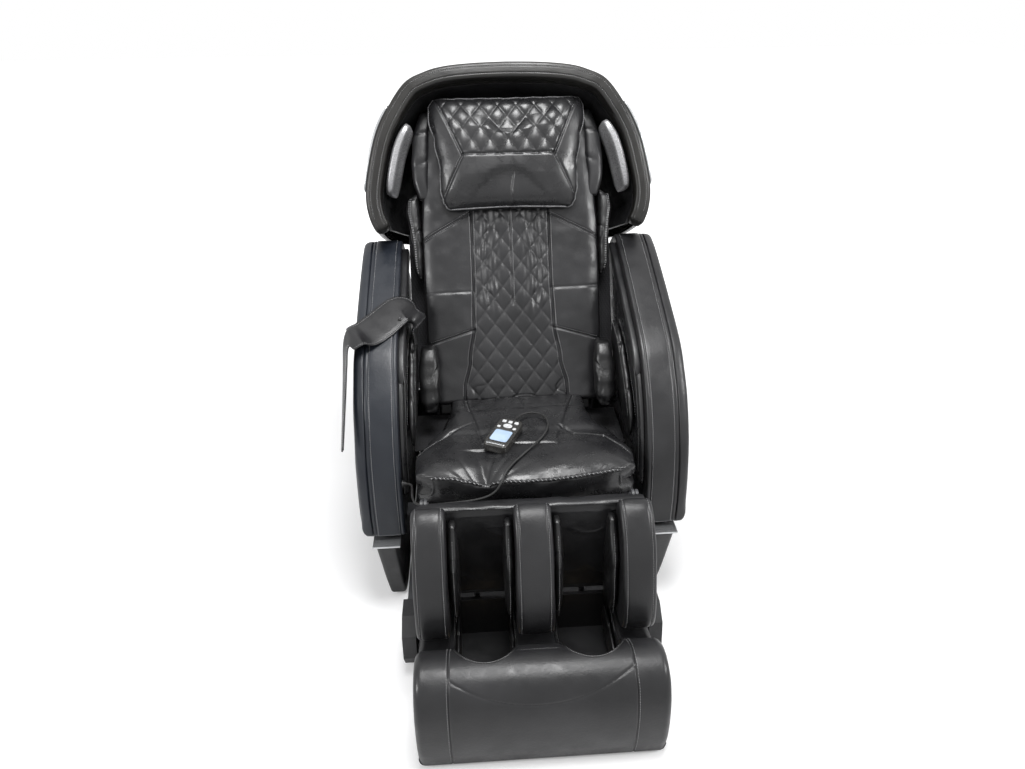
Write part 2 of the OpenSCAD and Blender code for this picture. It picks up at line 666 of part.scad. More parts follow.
// Rear shell between the arms: a deep tray open to the front
module rear_shell() {
    n = 16;
    ss = [20, 70, 150, 280, 424];
    function row(s, w) = [for (k = [0 : n]) let (a = 180 * k / n, d = look([[20, shell_depth - 50],
            [70, shell_depth - 24], [150, shell_depth], [424, shell_depth]], s) - 64 - w)
        [-(shell_hw - w) * spow(cos(a), 0.4), 64 + d * pow(sin(a), 0.4), s]];
    color([0.12, 0.12, 0.13]) on_back() sheet_solid([for (s = ss) row(s, 0)], [for (s = ss) row(s,
        shell_wall)]);
}
// Back pad: crowned, with the seams of the quilted middle panel and its two gathered folds
function pad_front(x, s) = -5 * max(0, 1 - pow(x / pad_hw, 4)) + 5
    + dip(abs(x), look([[24, 132], [92, 116], [180, panel_hw + 4], [300, panel_hw]], s), 16, 7)
    + dip(abs(x), 54, 20, s > 120 && s < 470 ? 5 : 1)
    + dip(s, 148 - (abs(x) - panel_hw) * 0.12, 15, abs(x) > panel_hw ? 4 : 0)
    + dip(s, 432 + (abs(x) - panel_hw) * -0.3, 15, abs(x) > panel_hw ? 3 : 0);
module back_pad() {
    n = 42;
    ss = [-18, -12, 20, 60, 110, 145, 160, 200, 260, 330, 400, 430, 450, 520, 620, pad_len - 24,
        pad_len - 8, pad_len];
    color([0.11, 0.11, 0.12]) on_back() loft([for (s = ss)
        let (e = s < -14 || s > pad_len - 1 ? 16 : s < 0 || s > pad_len - 10 ? 4 : 0,
            hw = look([[0, pad_hw - 8], [60, pad_hw], [560, pad_hw], [pad_len, pad_hw - 24]], s) - e)
        [for (k = [0 : n - 1]) let (m = floor(n * 0.7), front = k < m,
                u = front ? 2 * k / (m - 1) - 1 : 1 - 2 * (k - m + 1) / (n - m + 1),
                x = hw * u, soft = pow(abs(u), 12) * (pad_t * 0.36))
            [x, front ? pad_front(x, s) + e * 0.7 + soft : pad_t - e * 0.7 - soft * 0.5, s]]]);
}

// ---- Hood ------------------------------------------------------------------------------

hood_low = 432;
hood_half = [[333, 415], [350, 455], [356, 505], [347, 566], [324, 648], [290, 712], [246, 768],
    [196, 792], [150, 803], [80, 809], [0, 811]];
hood_arc = let (h = smooth(hood_half, 2)) concat([for (p = h) [-p[0], p[1]]],
    [for (i = [len(h) - 2 : -1 : 0]) h[i]]);
hood_n = len(hood_arc) - 1;
function rim_t(s) = -19 - (s - 415) * 0.149;
hood_depth = 284;
band_back = band_d - 16;
// A point of the hood: outline point i, drawn in by d, shrunk by f towards the foot line, at depth t
function hood_pt(i, d, f, t) = let (p = hood_arc[i] - nrm(hood_arc, i) * d)
    [p[0] * f, t, hood_low + (max(p[1], hood_low) - hood_low) * f];
module hood_shell() {
    steps = [[0.99, 0], [1, 0.12], [1, 0.35], [0.985, 0.6], [0.94, 0.8], [0.84, 0.93], [0.6, 1], [0.06, 1]];
    function row(w) = [for (v = steps) [for (i = [0 : hood_n]) let (t = rim_t(hood_arc[i][1])
        + band_back + gap)
        hood_pt(i, w + 1, v[0], t + (hood_depth - w - t) * v[1])]];
    color([0.16, 0.155, 0.15]) on_back() sheet_solid(row(0), row(shell_wall));
}
// Leather band: a rounded strip carried round the hood's mouth
module hood_band() {
    n = 12;
    color([0.13, 0.13, 0.13]) on_back() loft([for (i = [0 : hood_n]) let (p = hood_arc[i],
            o = nrm(hood_arc, i), c = p - o * band_w / 2, f = i == 0 || i == hood_n ? 0.45 : 1)
        [for (q = ring(band_w / 2 * f, (band_back / 2 - 0.1) * f, 6, n))
            [c[0] + o[0] * q[0], rim_t(p[1]) + band_back / 2 + q[1], max(c[1] + o[1] * q[0], 412)]]]);
}
// Lining: a padded tunnel behind the band, narrowing to the rear
lining_in = band_w * 0.72;
lining_end = 150;
function lining_pt(i, w, t) = let (t0 = rim_t(hood_arc[i][1]) + band_back)
    hood_pt(i, lining_in + w, look([[0, 0.99], [0.3, 0.95], [0.7, 0.88], [1, 0.8]],
        (t - t0) / (lining_end - t0)), t);
module hood_lining() {
    function row(w) = [for (v = [0, 0.3, 0.7,
        1]) [for (i = [0 : hood_n]) let (t = rim_t(hood_arc[i][1]) + band_back)
        lining_pt(i, w, t + (lining_end - t) * v)]];
    color([0.05, 0.05, 0.05]) on_back() sheet_solid(row(0), row(lining_t));
}
// Silver strips on the hood's outer sides
module hood_trims() {
    idx = [for (i = [0 : hood_n]) if (hood_arc[i][1] > 520 && hood_arc[i][1] < 720 && hood_arc[i][0] >
        0) i];
    color("silver") on_back() pair() loft([for (i = idx)
        let (p = hood_arc[i], o = nrm(hood_arc, i), t = rim_t(p[1]) + 11)
        [for (q = [[gap, 0], [5, 0], [5, 24], [gap, 24]]) [p[0] + o[0] * q[0], t + q[1], p[1]
            + o[1] * q[0]]]]);
}
// Speaker pods: slim capsules on the lining at both sides of the head
pod_t = 26;
pod_depth = 72;
module speaker_pods() {
    idx = [for (i = [0 : hood_n]) if (hood_arc[i][0] > 0 && hood_arc[i][1] > 520 && hood_arc[i][1] <
        716) i];
    m = len(idx) - 1;
    color("silver") on_back() pair() loft([for (j = [0 : m])
        let (i = idx[j], e = j == 0 || j == m ? 0.5 : 1)
        [for (q = ring(pod_t / 2 * e, pod_depth / 2 * e, 3, 14))
            lining_pt(i, lining_t + gap + pod_t / 2 + q[0], rim_t(hood_arc[i][1]) + 16
                + pod_depth / 2 + q[1])]]);
}
// Shoulder airbags beside the pad, each row: height, half width, half depth
shoulder_rows = [[306, 8, 20], [330, 12, 34], [400, 14, 36], [440, 18, 36], [470, 22, 36], [500, 20,
    34], [518, 10, 20]];
module shoulder_airbags() {
    n = 12;
    color([0.06, 0.06, 0.07]) on_back() pair() loft([for (r = shoulder_rows)
        [for (k = [0 : n - 1]) let (q = ring(r[1], r[2], 3, n)[k])
            [pad_hw + gap + r[1] + q[0] * (q[0] > 0 ? 1 - 0.12 * (k % 2) : 1), 26 + q[1], r[0]]]]);
}
// Head pillow: narrower at the foot, crowned, with a seam across and its side seams
pillow_low = 468;
pillow_high = 744;
module head_pillow() {
    n = 34;
    ss = [pillow_low, 474, 486, 510, 548, 586, 594, 602, 640, 690, 722, 738, pillow_high];
    color([0.12, 0.12, 0.13]) on_back() loft([for (s = ss)
        let (v = (s - pillow_low) / (pillow_high - pillow_low),
            e = s < 470 || s > 742 ? 26 : s < 480 || s > 730 ? 9 : 0,
            hw = look([[468, 0.76], [486, 0.82], [514, 0.87], [560, 0.89], [690, 1], [744, 0.88]],
                s) * pillow_w / 2 - e * 0.6,
            thick = pillow_t - e * 1.6 + 8 * sin(180 * v) - 8)
        [for (p = ring(hw, thick / 2, 3.2, n)) let (seam = p[1] < 0 ? dip(s, 594, 10, 5)
                + dip(abs(p[0]), look([[486, 168], [594, 112], [744, 176]], s), 14, 5) : 0)
            [p[0], -gap - pillow_t / 2 + p[1] + seam, s]]]);
}
// Massage carriage on the guide rods, with four arms for the roller axles
axle_s = 70;
axle_t = pad_t + 6 + roller_r;
roller_x = 60;
module massage_carriage() {
    color("gray") on_back() difference() {
        union() {
            box([-guide_x - 18, pivot_b[0] - 16, carriage_s - 40], [guide_x + 18, pivot_b[0] + 34,
                carriage_s + 40]);
            pair() for (x = [roller_x - roller_w / 2 - 8, roller_x + roller_w / 2 + 2])
                side_plate(x, x + 6) polygon([[axle_t - 10, carriage_s - axle_s - 10],
                    [axle_t + 10, carriage_s - axle_s - 10], [pivot_b[0] - 10, carriage_s - 40],
                    [pivot_b[0] - 10, carriage_s + 40], [axle_t + 10, carriage_s + axle_s + 10],
                    [axle_t - 10, carriage_s + axle_s + 10], [axle_t - 4, carriage_s]]);
            for (s = [-axle_s, axle_s]) pair() bar_x(6, roller_x - roller_w / 2 - 8,
                roller_x + roller_w / 2 + 8, axle_t, carriage_s + s);
            translate([0, pivot_b[0] + 30, carriage_s]) rotate([0, 90, 0]) cylinder(r = 24, h = 120,
                center = true, $fn = 48);
        }
        pair() translate([guide_x, pivot_b[0], carriage_s - 60]) cylinder(r = guide_r + run, h = 120,
            $fn = 48);
    }
}
module rollers(s) {
    color("tan") on_back() pair() difference() {
        bar_x(roller_r, roller_x - roller_w / 2, roller_x + roller_w / 2, axle_t, carriage_s + s);
        bar_x(6 + run, roller_x - roller_w, roller_x + roller_w, axle_t, carriage_s + s);
    }
}

// ---- Legrest ---------------------------------------------------------------------------

calf_wall = leg_pivot[0] - 18;
calf_low = 150;
calf_high = 392;
calf_outline = smooth([[calf_wall - calf_back_t - gap, calf_low + 2], [-440, 156], [-482, 164], [-497, 190],
    [-494, 230], [-478, 285], [-455, 338], [-426, 380], [-394, 406], [-368, 410],
    [calf_wall - calf_back_t - gap, calf_high]], 2);
module legrest_frame() {
    frame_y = calf_wall + gap;
    color("dimgray") {
        box([-leg_ear_x - plate_t - 9, frame_y, calf_low + 10], [leg_ear_x + plate_t + 9, frame_y + 4,
            calf_high - 24]);
        pair() {
            side_plate(leg_ear_x + plate_t + 2, leg_ear_x + plate_t + 8) difference() {
                union() {
                    translate(leg_pivot) circle(r = 14, $fn = 48);
                    translate([frame_y, leg_pivot[1] - 50]) square([12, 50]);
                }
                translate([frame_y - 20, 300]) square([20, 120]);
            }
            bar_x(leg_pin_r - run, leg_ear_x - 3, leg_ear_x + plate_t + 5, leg_pivot[0], leg_pivot[1]);
            difference() {
                translate([sleeve_x, sleeve_y, calf_low + 24]) cylinder(r = foot_rod_r + 5, h = 150,
                    $fn = 48);
                translate([sleeve_x, sleeve_y, 0]) cylinder(r = foot_rod_r + run, h = 400, $fn = 48);
                box([sleeve_x - 40, frame_y - 30, 0], [sleeve_x + 40, frame_y, 500]);
            }
        }
        for (s = [-1, 1]) side_plate(s * 17 - 3, s * 17 + 3) legrest_lever(frame_y);
    }
}
sleeve_x = 120;
sleeve_y = calf_wall + gap + 4 + foot_rod_r + 3;
// Lever behind the calf unit, with the slot in which the rod's cross pin rides
module legrest_lever(frame_y) {
    slot = cross_pin_r + 7.5;
    far = leg_arm / cos(leg_swing / 2);
    difference() {
        union() {
            translate(leg_pivot) rotate(leg_lever_back) hull() {
                translate([0, -leg_arm]) circle(r = slot + 9, $fn = 24);
                translate([0, -far]) circle(r = slot + 9, $fn = 24);
            }
            translate([frame_y, leg_pivot[1] - far - 10]) square([24, far - leg_arm + 20]);
        }
        translate([frame_y - 100, 0]) square([100, 500]);
        translate(leg_pivot) rotate(leg_lever_back) hull() for (r = [leg_arm - 2, far + 2])
            translate([0, -r]) circle(r = slot, $fn = 24);
    }
}
module legrest_rod() {
    color("gainsboro") legrest_place() actuator_rod(296);
}
module calf_back() {
    color([0.06, 0.06, 0.07])
        box([-leg_hw + 6, calf_wall - calf_back_t, calf_low], [leg_hw - 6, calf_wall, calf_high]);
}
module calf_column(x0, x1) {
    steps = [[x0, 9], [x0 + 3, 3], [x0 + 9, 0], [x1 - 9, 0], [x1 - 3, 3], [x1, 9]];
    loft([for (s = steps) [for (p = inset(calf_outline, -s[1]))
        [s[0], min(p[0], calf_wall - calf_back_t - gap), p[1]]]]);
}
module calf_columns() {
    color([0.12, 0.12, 0.13]) {
        calf_column(-mid_col_w / 2, mid_col_w / 2);
        pair() calf_column(leg_hw - outer_col_w, leg_hw);
    }
}
// Gathered airbags on both sides of each calf channel
module calf_airbags() {
    n = 12;
    y1 = calf_wall - calf_back_t - gap;
    module bag(x, s) {
        loft([for (k = [0 : 6]) let (v = k / 6, z = calf_low + 12 + 216 * v,
                e = k == 0 || k == 6 ? 0.5 : k % 2 == 0 ? 0.84 : 1, half = calf_bag_t / 2 * e,
                yf = look([[150, -452], [210, -458], [300, -444], [385, -400]], z))
            [for (p = ring(half, (y1 - yf) / 2 * (e < 0.6 ? 0.75 : 1), 3, n))
                [x + s * (half + gap) + p[0], (y1 + yf) / 2 + p[1], z]]]);
    }
    color([0.06, 0.06, 0.07]) pair() {
        bag(mid_col_w / 2, 1);
        bag(leg_hw - outer_col_w, -1);
    }
}

// ---- Foot unit -------------------------------------------------------------------------

heel_y = calf_wall - 6;
foot_low = 8;
foot_outline = smooth([[heel_y, foot_low], [heel_y, 70], [heel_y, 122], [heel_y - 5, 132], [-400, 134],
    [-470, 136], [-506, 152],
    [-530, 186], [-560, 206], [-596, 208], [-632, 190], [-655, 150], [-664, 100], [-664, 50], [-656,
        foot_low]], 2);
well_front = -586;
roller_y = -470;
roller_z = well_floor + 8;
// Wall between a well and the side cushion beyond it, and the way the foot unit clears the rails
well_wall = 6;
rail_clear = 10.5;
foot_split = well_x + well_hw + well_wall;
function foot_ring(x, d) = [for (p = inset(foot_outline, d)) [x, p[0], max(p[1], foot_low)]];
module foot_shell() {
    steps = [[leg_hw, 14], [leg_hw - 3, 6], [leg_hw - 12, 0], [foot_split + gap, 0]];
    color([0.12, 0.12, 0.13]) pair() difference() {
        loft([for (s = steps) foot_ring(s[0], s[1])]);
        box([rail_in - rail_clear, rail_front - 50, 0], [rail_in + 100, heel_y + 50, 300]);
    }
    color([0.12, 0.12, 0.13]) difference() {
        loft([foot_ring(-foot_split, 0), foot_ring(foot_split, 0)]);
        for (s = [-1, 1]) {
            translate([s * well_x, well_front + well_hw, well_floor]) cylinder(r = well_hw, h = 300,
                $fn = 64);
            box([s * well_x - well_hw, well_front + well_hw, well_floor],
                [s * well_x + well_hw, heel_y - 12, well_floor + 300]);
            box([s * well_x - 46, roller_y - sole_r - 3, roller_z - sole_r - 2],
                [s * well_x + 46, roller_y + sole_r + 3, well_floor + 1]);
        }
        for (s = [-1, 1])
            bar_x(4 + run, s * well_x - well_hw - 5.5, s * well_x + well_hw + 5.5, roller_y, roller_z);
    }
}
module sole_roller(s) {
    color("tan") {
        bar_x(4, s * well_x - well_hw - 5, s * well_x + well_hw + 5, roller_y, roller_z);
        for (k = [-2 : 2])
            bar_x(k % 2 == 0 ? sole_r : sole_r - 4, s * well_x + k * 17 - 9, s * well_x + k * 17 + 9,
                roller_y, roller_z);
    }
}
module foot_airbags() {
    n = 10;
    module bag(x, s) {
        loft([for (k = [0 : 3]) let (y = -516 + [0, 16, 128, 144][k], e = k == 0 || k == 3 ? 0.5 : 1)
            [for (p = ring(foot_bag_t / 2 * e, 30 * e, 3, n)) [x + s * (foot_bag_t / 2 * e + gap)
                + p[0], y, 96 + p[1]]]]);
    }
    color([0.06, 0.06, 0.07]) pair() {
        bag(well_x - well_hw, 1);
        bag(well_x + well_hw, -1);
    }
}
module foot_frame() {
    color("dimgray") pair() {
        translate([sleeve_x, sleeve_y, 58]) cylinder(r = foot_rod_r, h = calf_low + 140, $fn = 48);
        box([sleeve_x - 16, heel_y + 0.7, 46], [sleeve_x + 16, sleeve_y + 10, 60]);
        box([sleeve_x - 30, heel_y + 0.7, 30], [sleeve_x + 30, heel_y + 4, 110]);
    }
}

// ---- Handset and cord ------------------------------------------------------------------

remote_at = [-45, -146];
remote_turn = -26;
remote_z = seat_h + seat_crown - 1.4;
module on_remote() {
    translate([remote_at[0], remote_at[1], remote_z]) rotate([0, 0, remote_turn]) children();
}
module handset() {
    color([0.08, 0.08, 0.09]) on_remote() difference() {
        hull() {
            for (x = [-1, 1], y = [-1, 1]) translate([x * (remote_w / 2 - 8), y * (remote_l / 2 - 8), 3])
                cylinder(r = 8, h = remote_t - 3, $fn = 32);
            for (x = [-1, 1], y = [-1, 1]) translate([x * (remote_w / 2 - 12), y * (remote_l / 2 - 12), 0])
                cylinder(r = 8, h = 1, $fn = 32);
        }
        box([-21, -36, remote_t - 2], [21, 8, remote_t + 1]);
        for (k = key_places) translate([k[0], k[1], remote_t - key_h - 2]) cylinder(r = k[2] + 0.4,
            h = 10, $fn = 48);
    }
}
key_places = [[-15, 42, 5], [0, 42, 5], [15, 42, 5], [0, 25, 9], [-19, 18, 4], [19, 18, 4]];
module handset_screen() {
    color("lightsteelblue") on_remote()
        box([-20.7, -35.7, remote_t - 2 + 0.1], [20.7, 7.7, remote_t - 0.4]);
}
module key(k) {
    color("silver") on_remote() translate([key_places[k][0], key_places[k][1], remote_t - key_h / 2])
        cylinder(r = key_places[k][2], h = key_h * 1.5, $fn = 48);
}
// The cord leaves the handset's end, loops back over the seat and drops over its front edge
cord_route = [[-20, -95.5, 427], [-14, -83, 427], [-7, -70, 426], [8, -55, 424], [32, -48, 422], [52,
    -60, 422],
    [61, -84, 423], [60, -112, 423], [46, -146, 423], [22, -180, 423], [-4, -212, 422], [-30, -244, 421],
    [-48, -272, 418], [-58, -292, 408], [-70, -299, 392], [-90, -302, 380], [-120, -302, 372],
    [-160, -302, 368], [-196, -300, 364], [-226, -294, 359], [-244, -278, 353], [-252, -252, 347],
    [-255, -222, 341], gland_at + [22.5, -11.5, 1], gland_at + [21, -5.7, 0.6],
    gland_at + [16.75, -1.5, 0.2], gland_at + [11, 0, 0], gland_at + [5.7, 0, 0], gland_at + [0.4, 0, 0]];
module handset_cord() {
    path = smooth(cord_route, 3);
    n = len(path) - 1;
    color([0.03, 0.03, 0.03]) loft([for (i = [0 : n]) let (d = path[min(i + 1, n)] - path[max(i - 1, 0)],
            t = d / norm(d), s = [t[1], -t[0], 0] / norm([t[1], -t[0], 0]), o = cross(s, t))
        [for (k = [0 : 7]) path[i] + (s * cos(45 * k) + o * sin(45 * k)) * cord_d / 2]]);
}

base_frame();
rubber_feet();
rail_nose_covers();
color([0.09, 0.09, 0.1]) mirror([1, 0, 0]) skirt();  // skirt_left
color([0.09, 0.09, 0.1]) skirt();  // skirt_right
skirt_trims();
rear_cover();
seat_pan();
seat_cushion();
knee_apron();
control_box();
air_pump();
power_inlet();
rocker_switch();
recline_actuator();
legrest_actuator();
recline_rod();
legrest_rod();
wheel_part(-1);  // wheel_left
wheel_part(1);  // wheel_right
pair() arm_core();  // arm_cores
cord_gland();  // arm_cores
mirror([1, 0, 0]) arm_strip();  // arm_strip_left
arm_strip();  // arm_strip_right
mirror([1, 0, 0]) arm_cover();  // arm_cover_left
arm_cover();  // arm_cover_right
pair() arm_liner();  // arm_liners
forearm_airbags();
hip_airbags();
arm_strap();
back_frame();
rear_shell();
back_pad();
hood_shell();
hood_band();
hood_lining();
hood_trims();
speaker_pods();
shoulder_airbags();
head_pillow();
massage_carriage();
rollers(axle_s);  // upper_rollers
rollers(-axle_s);  // lower_rollers
legrest_frame();
calf_back();
calf_columns();
calf_airbags();
foot_frame();
foot_shell();
foot_airbags();
sole_roller(-1);  // sole_roller_left
sole_roller(1);  // sole_roller_right
handset();
handset_screen();
key(0);  // key_1
key(1);  // key_2
key(2);  // key_3
key(3);  // key_wheel
key(4);  // key_left
key(5);  // key_right
handset_cord();
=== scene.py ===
import json
import math

import bmesh
import bpy
import numpy as np
from mathutils import Matrix, Vector

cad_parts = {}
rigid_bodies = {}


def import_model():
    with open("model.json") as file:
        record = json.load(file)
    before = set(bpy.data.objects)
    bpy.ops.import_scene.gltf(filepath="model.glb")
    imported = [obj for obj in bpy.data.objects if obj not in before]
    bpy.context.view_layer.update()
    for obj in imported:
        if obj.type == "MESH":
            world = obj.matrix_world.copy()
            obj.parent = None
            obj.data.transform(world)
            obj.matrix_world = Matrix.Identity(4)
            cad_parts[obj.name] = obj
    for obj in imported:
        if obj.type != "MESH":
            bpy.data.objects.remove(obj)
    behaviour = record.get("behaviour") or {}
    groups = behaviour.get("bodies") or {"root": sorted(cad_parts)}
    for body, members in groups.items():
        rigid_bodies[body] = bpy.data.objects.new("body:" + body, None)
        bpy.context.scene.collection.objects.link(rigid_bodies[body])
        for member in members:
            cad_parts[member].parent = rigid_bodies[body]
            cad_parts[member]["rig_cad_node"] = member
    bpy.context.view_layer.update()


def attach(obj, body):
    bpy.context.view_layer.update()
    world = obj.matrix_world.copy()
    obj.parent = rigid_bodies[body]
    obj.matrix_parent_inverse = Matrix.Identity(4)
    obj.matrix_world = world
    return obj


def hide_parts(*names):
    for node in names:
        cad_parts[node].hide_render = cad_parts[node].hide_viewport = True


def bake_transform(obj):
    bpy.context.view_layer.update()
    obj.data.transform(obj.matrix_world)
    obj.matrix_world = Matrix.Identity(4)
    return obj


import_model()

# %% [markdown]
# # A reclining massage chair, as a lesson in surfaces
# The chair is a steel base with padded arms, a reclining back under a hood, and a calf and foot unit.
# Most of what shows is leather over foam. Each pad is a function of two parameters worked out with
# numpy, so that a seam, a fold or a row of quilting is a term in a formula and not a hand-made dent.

MM = 0.001
BACK_ROOT = (70.0, 400.0)
LEAN = math.radians(28.2)


def rot(v):
    """An array of floats, so that lists can be written plainly."""
    return np.asarray(v, float)


def on_back(p):
    """Points (x, rearward t, up the back s) in mm, leaned back by LEAN about the foot of the back."""
    x, t, s = rot(p)[..., 0], rot(p)[..., 1], rot(p)[..., 2]
    c, k = math.cos(LEAN), math.sin(LEAN)
    return np.stack([x, BACK_ROOT[0] + t * c + s * k, BACK_ROOT[1] - t * k + s * c], -1)


# %% [markdown]
# ## The camera
# The chair is seen from in front and above, a little from its left. The camera comes first, because
# the cord is checked against what it sees. The camera is placed by its yaw, pitch and roll.

# %% Camera
YAW, PITCH, ROLL = math.radians(3.34), math.radians(30.82), math.radians(-0.65)
forward = Vector((math.sin(YAW) * math.cos(PITCH), math.cos(YAW) * math.cos(PITCH), -math.sin(PITCH)))
level = Vector((math.cos(YAW), -math.sin(YAW), 0))
above = level.cross(forward)
side = level * math.cos(ROLL) + above * math.sin(ROLL)
over = above * math.cos(ROLL) - level * math.sin(ROLL)
camera_data = bpy.data.cameras.new("camera")
camera_data.lens, camera_data.sensor_width = 24.86, 36.0
camera = bpy.data.objects.new("camera", camera_data)
turn = Matrix((side, over, -forward)).transposed()
camera.matrix_world = Matrix.Translation((-0.1006, -1.471, 1.3532)) @ turn.to_4x4()
bpy.context.scene.collection.objects.link(camera)
bpy.context.scene.camera = camera
bpy.context.scene.view_settings.view_transform = "Standard"
print("camera at", [round(v, 3) for v in camera.location])

# %% [markdown]
# ## Shapes from numbers
# Three helpers do most of the work: a smooth curve through points, a rounded-box ring, and a mesh
# laid over a grid of points. Smooth random values, always from one seed, give the leather its
# small unevenness.


# %% Curves, rings and noise
def curve(points, n):
    """Catmull-Rom: a cubic between neighbours whose slope at a point is half the step across it."""
    p = rot(points)
    q = np.vstack([p[:1], p, p[-1:]])
    u = np.linspace(0, 1, n, endpoint=False)[None, :, None]
    a, b, c, d = (q[k : len(p) - 1 + k, None, :] for k in range(4))
    mid = 0.5 * (2 * b + (c - a) * u + (2 * a - 5 * b + 4 * c - d) * u**2 + (3 * b - a - 3 * c + d) * u**3)
    return np.vstack([mid.reshape(-1, p.shape[1]), p[-1:]])


def even(path, n):
    """The same path with n points at equal steps of its length."""
    d = np.r_[0, np.cumsum(np.linalg.norm(np.diff(path, axis=0), axis=1))]
    return np.stack([np.interp(np.linspace(0, d[-1], n), d, path[:, k]) for k in range(path.shape[1])], -1)


def look(rows, x):
    """Value at x of a table of (x, value), straight between its rows."""
    t = rot(rows)
    return np.interp(x, t[:, 0], t[:, 1])


def glide(rows, x):
    """Value at x of a table of (x, value), smooth between its rows: 3u^2 - 2u^3 of each step."""
    t = rot(rows)
    k = np.clip(np.searchsorted(t[:, 0], x) - 1, 0, len(t) - 2)
    u = np.clip((x - t[k, 0]) / (t[k + 1, 0] - t[k, 0]), 0, 1)
    return t[k, 1] + (t[k + 1, 1] - t[k, 1]) * u * u * (3 - 2 * u)


def ring(a, b, e, n):
    """n points of a rounded box of half sizes a and b: (a cos^(2/e), b sin^(2/e)); e = 2 is an ellipse."""
    w = 2 * np.pi * (np.arange(n) + 0.5) / n
    power = lambda v: np.sign(v) * np.abs(v) ** (2 / e)
    return np.stack([a * power(np.cos(w)), b * power(np.sin(w))], -1)


def groove(d, w):
    """1 on a line and 0 well away from it: exp(-(distance / width)^2)."""
    return np.exp(-((d / w) ** 2))


LATTICE = np.random.default_rng(11).uniform(-1, 1, (256, 256))


def noise(x, y, cell, shift=0):
    """Smooth values in -1..1: random numbers on a lattice, eased between with 3u^2 - 2u^3."""
    x, y = np.asarray(x) / cell + 31.7 * shift + 40, np.asarray(y) / cell + 11.3 * shift + 40
    i, j = np.floor(x).astype(int), np.floor(y).astype(int)
    u, v = x - i, y - j
    u, v = u * u * (3 - 2 * u), v * v * (3 - 2 * v)
    at = lambda a, b: LATTICE[(i + a) % 256, (j + b) % 256]
    return (at(0, 0) * (1 - u) + at(1, 0) * u) * (1 - v) + (at(0, 1) * (1 - u) + at(1, 1) * u) * v


def crease(x, y, cell, shift=0):
    """Thin folds: 1 along the lines where smooth noise crosses zero, falling off quickly."""
    return np.clip(1 - np.abs(noise(x, y, cell, shift)) * 5, 0, 1) ** 2


def normals(path):
    """Unit normals of a flat polyline, to its left."""
    d = np.gradient(path, axis=0)
    return np.stack([-d[:, 1], d[:, 0]], -1) / np.linalg.norm(d, axis=1)[:, None]


# %% Meshes over grids
def faces_of(rows, wrap=False, caps=False, base=0):
    """Quads between neighbours of an m by n grid; wrap joins each row's ends, caps fan both end rows."""
    m, n = rows.shape[:2]
    k = np.arange(m * n).reshape(m, n) + base
    k = np.hstack([k, k[:, :1]]) if wrap else k
    quads = np.stack([k[:-1, :-1], k[:-1, 1:], k[1:, 1:], k[1:, :-1]], -1).reshape(-1, 4)
    points, fans = rows.reshape(-1, 3), []
    if caps:
        points = np.vstack([points, rows[0].mean(0), rows[-1].mean(0)])
        a, z = np.full(n, base + m * n), np.full(n, base + m * n + 1)
        fans = [np.stack([a, k[0, 1:], k[0, :-1]], -1), np.stack([z, k[-1, :-1], k[-1, 1:]], -1)]
    return points, [quads, *fans]


def outward(points, faces):
    """Turns the faces round where the volume they enclose comes out negative."""
    volume = sum(
        np.einsum("ij,ij->i", points[f[:, 0]], np.cross(points[f[:, k]], points[f[:, k + 1]])).sum()
        for f in faces
        for k in range(1, f.shape[1] - 1)
    )
    return [f[:, ::-1] for f in faces] if volume < 0 else faces


def new_object(name, points, faces, smooth=True):
    """A mesh object from points in mm and a list of face arrays, with smooth shading."""
    mesh = bpy.data.meshes.new(name)
    mesh.from_pydata((points * MM).tolist(), [], [f for block in faces for f in block.tolist()])
    mesh.polygons.foreach_set("use_smooth", [smooth] * len(mesh.polygons))
    mesh.update()
    thing = bpy.data.objects.new(name, mesh)
    bpy.context.scene.collection.objects.link(thing)
    return thing


def finish_piece(thing, body, material, nodes=()):
    """Gives a piece its body and its material, and hides the solids it stands for."""
    if material is not None:
        thing.data.materials.clear()
        thing.data.materials.append(material)
    if body:
        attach(thing, body)
    if nodes:
        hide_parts(*nodes)
    print(f"{thing.name}: {len(thing.data.polygons)} faces on {body}")
    return thing


def loft(name, rows, body, material, nodes=()):
    """Closed skin through rings, one row each, with both ends fanned shut."""
    points, faces = faces_of(rot(rows), wrap=True, caps=True)
    return finish_piece(new_object(name, points, outward(points, faces)), body, material, nodes)


def lofts(name, many, body, material, nodes=()):
    """Several closed skins as one mesh."""
    points, faces, base = [], [], 0
    for rows in many:
        p, f = faces_of(rot(rows), wrap=True, caps=True, base=0)
        faces += [g + base for g in outward(p, f)]
        points.append(p)
        base += len(p)
    return finish_piece(new_object(name, np.vstack(points), faces), body, material, nodes)


def mirror(rows):
    """The same points on the other side of the chair."""
    return rot(rows) * [-1, 1, 1]


def tube(path, radius, n=8, twist=None):
    """Rings square to a path; radius may change along it. twist(u, w) swells the ring by turn."""
    d = np.gradient(path, axis=0)
    t = d / np.linalg.norm(d, axis=1)[:, None]
    up = np.where(np.abs(t[:, 2:3]) > 0.9, [[1.0, 0, 0]], [[0, 0, 1.0]])
    a = np.cross(t, up)
    a /= np.linalg.norm(a, axis=1)[:, None]
    b = np.cross(a, t)
    w = 2 * np.pi * np.arange(n) / n
    r = np.broadcast_to(np.asarray(radius, float), (len(path),))[:, None] * np.ones(n)
    if twist is not None:
        length = np.r_[0, np.cumsum(np.linalg.norm(np.diff(path, axis=0), axis=1))]
        r = r * twist(length[:, None], w[None, :])
    return path[:, None] + r[..., None] * (a[:, None] * np.cos(w)[:, None] + b[:, None] * np.sin(w)[:, None])


# %% Thread
THREAD = {}


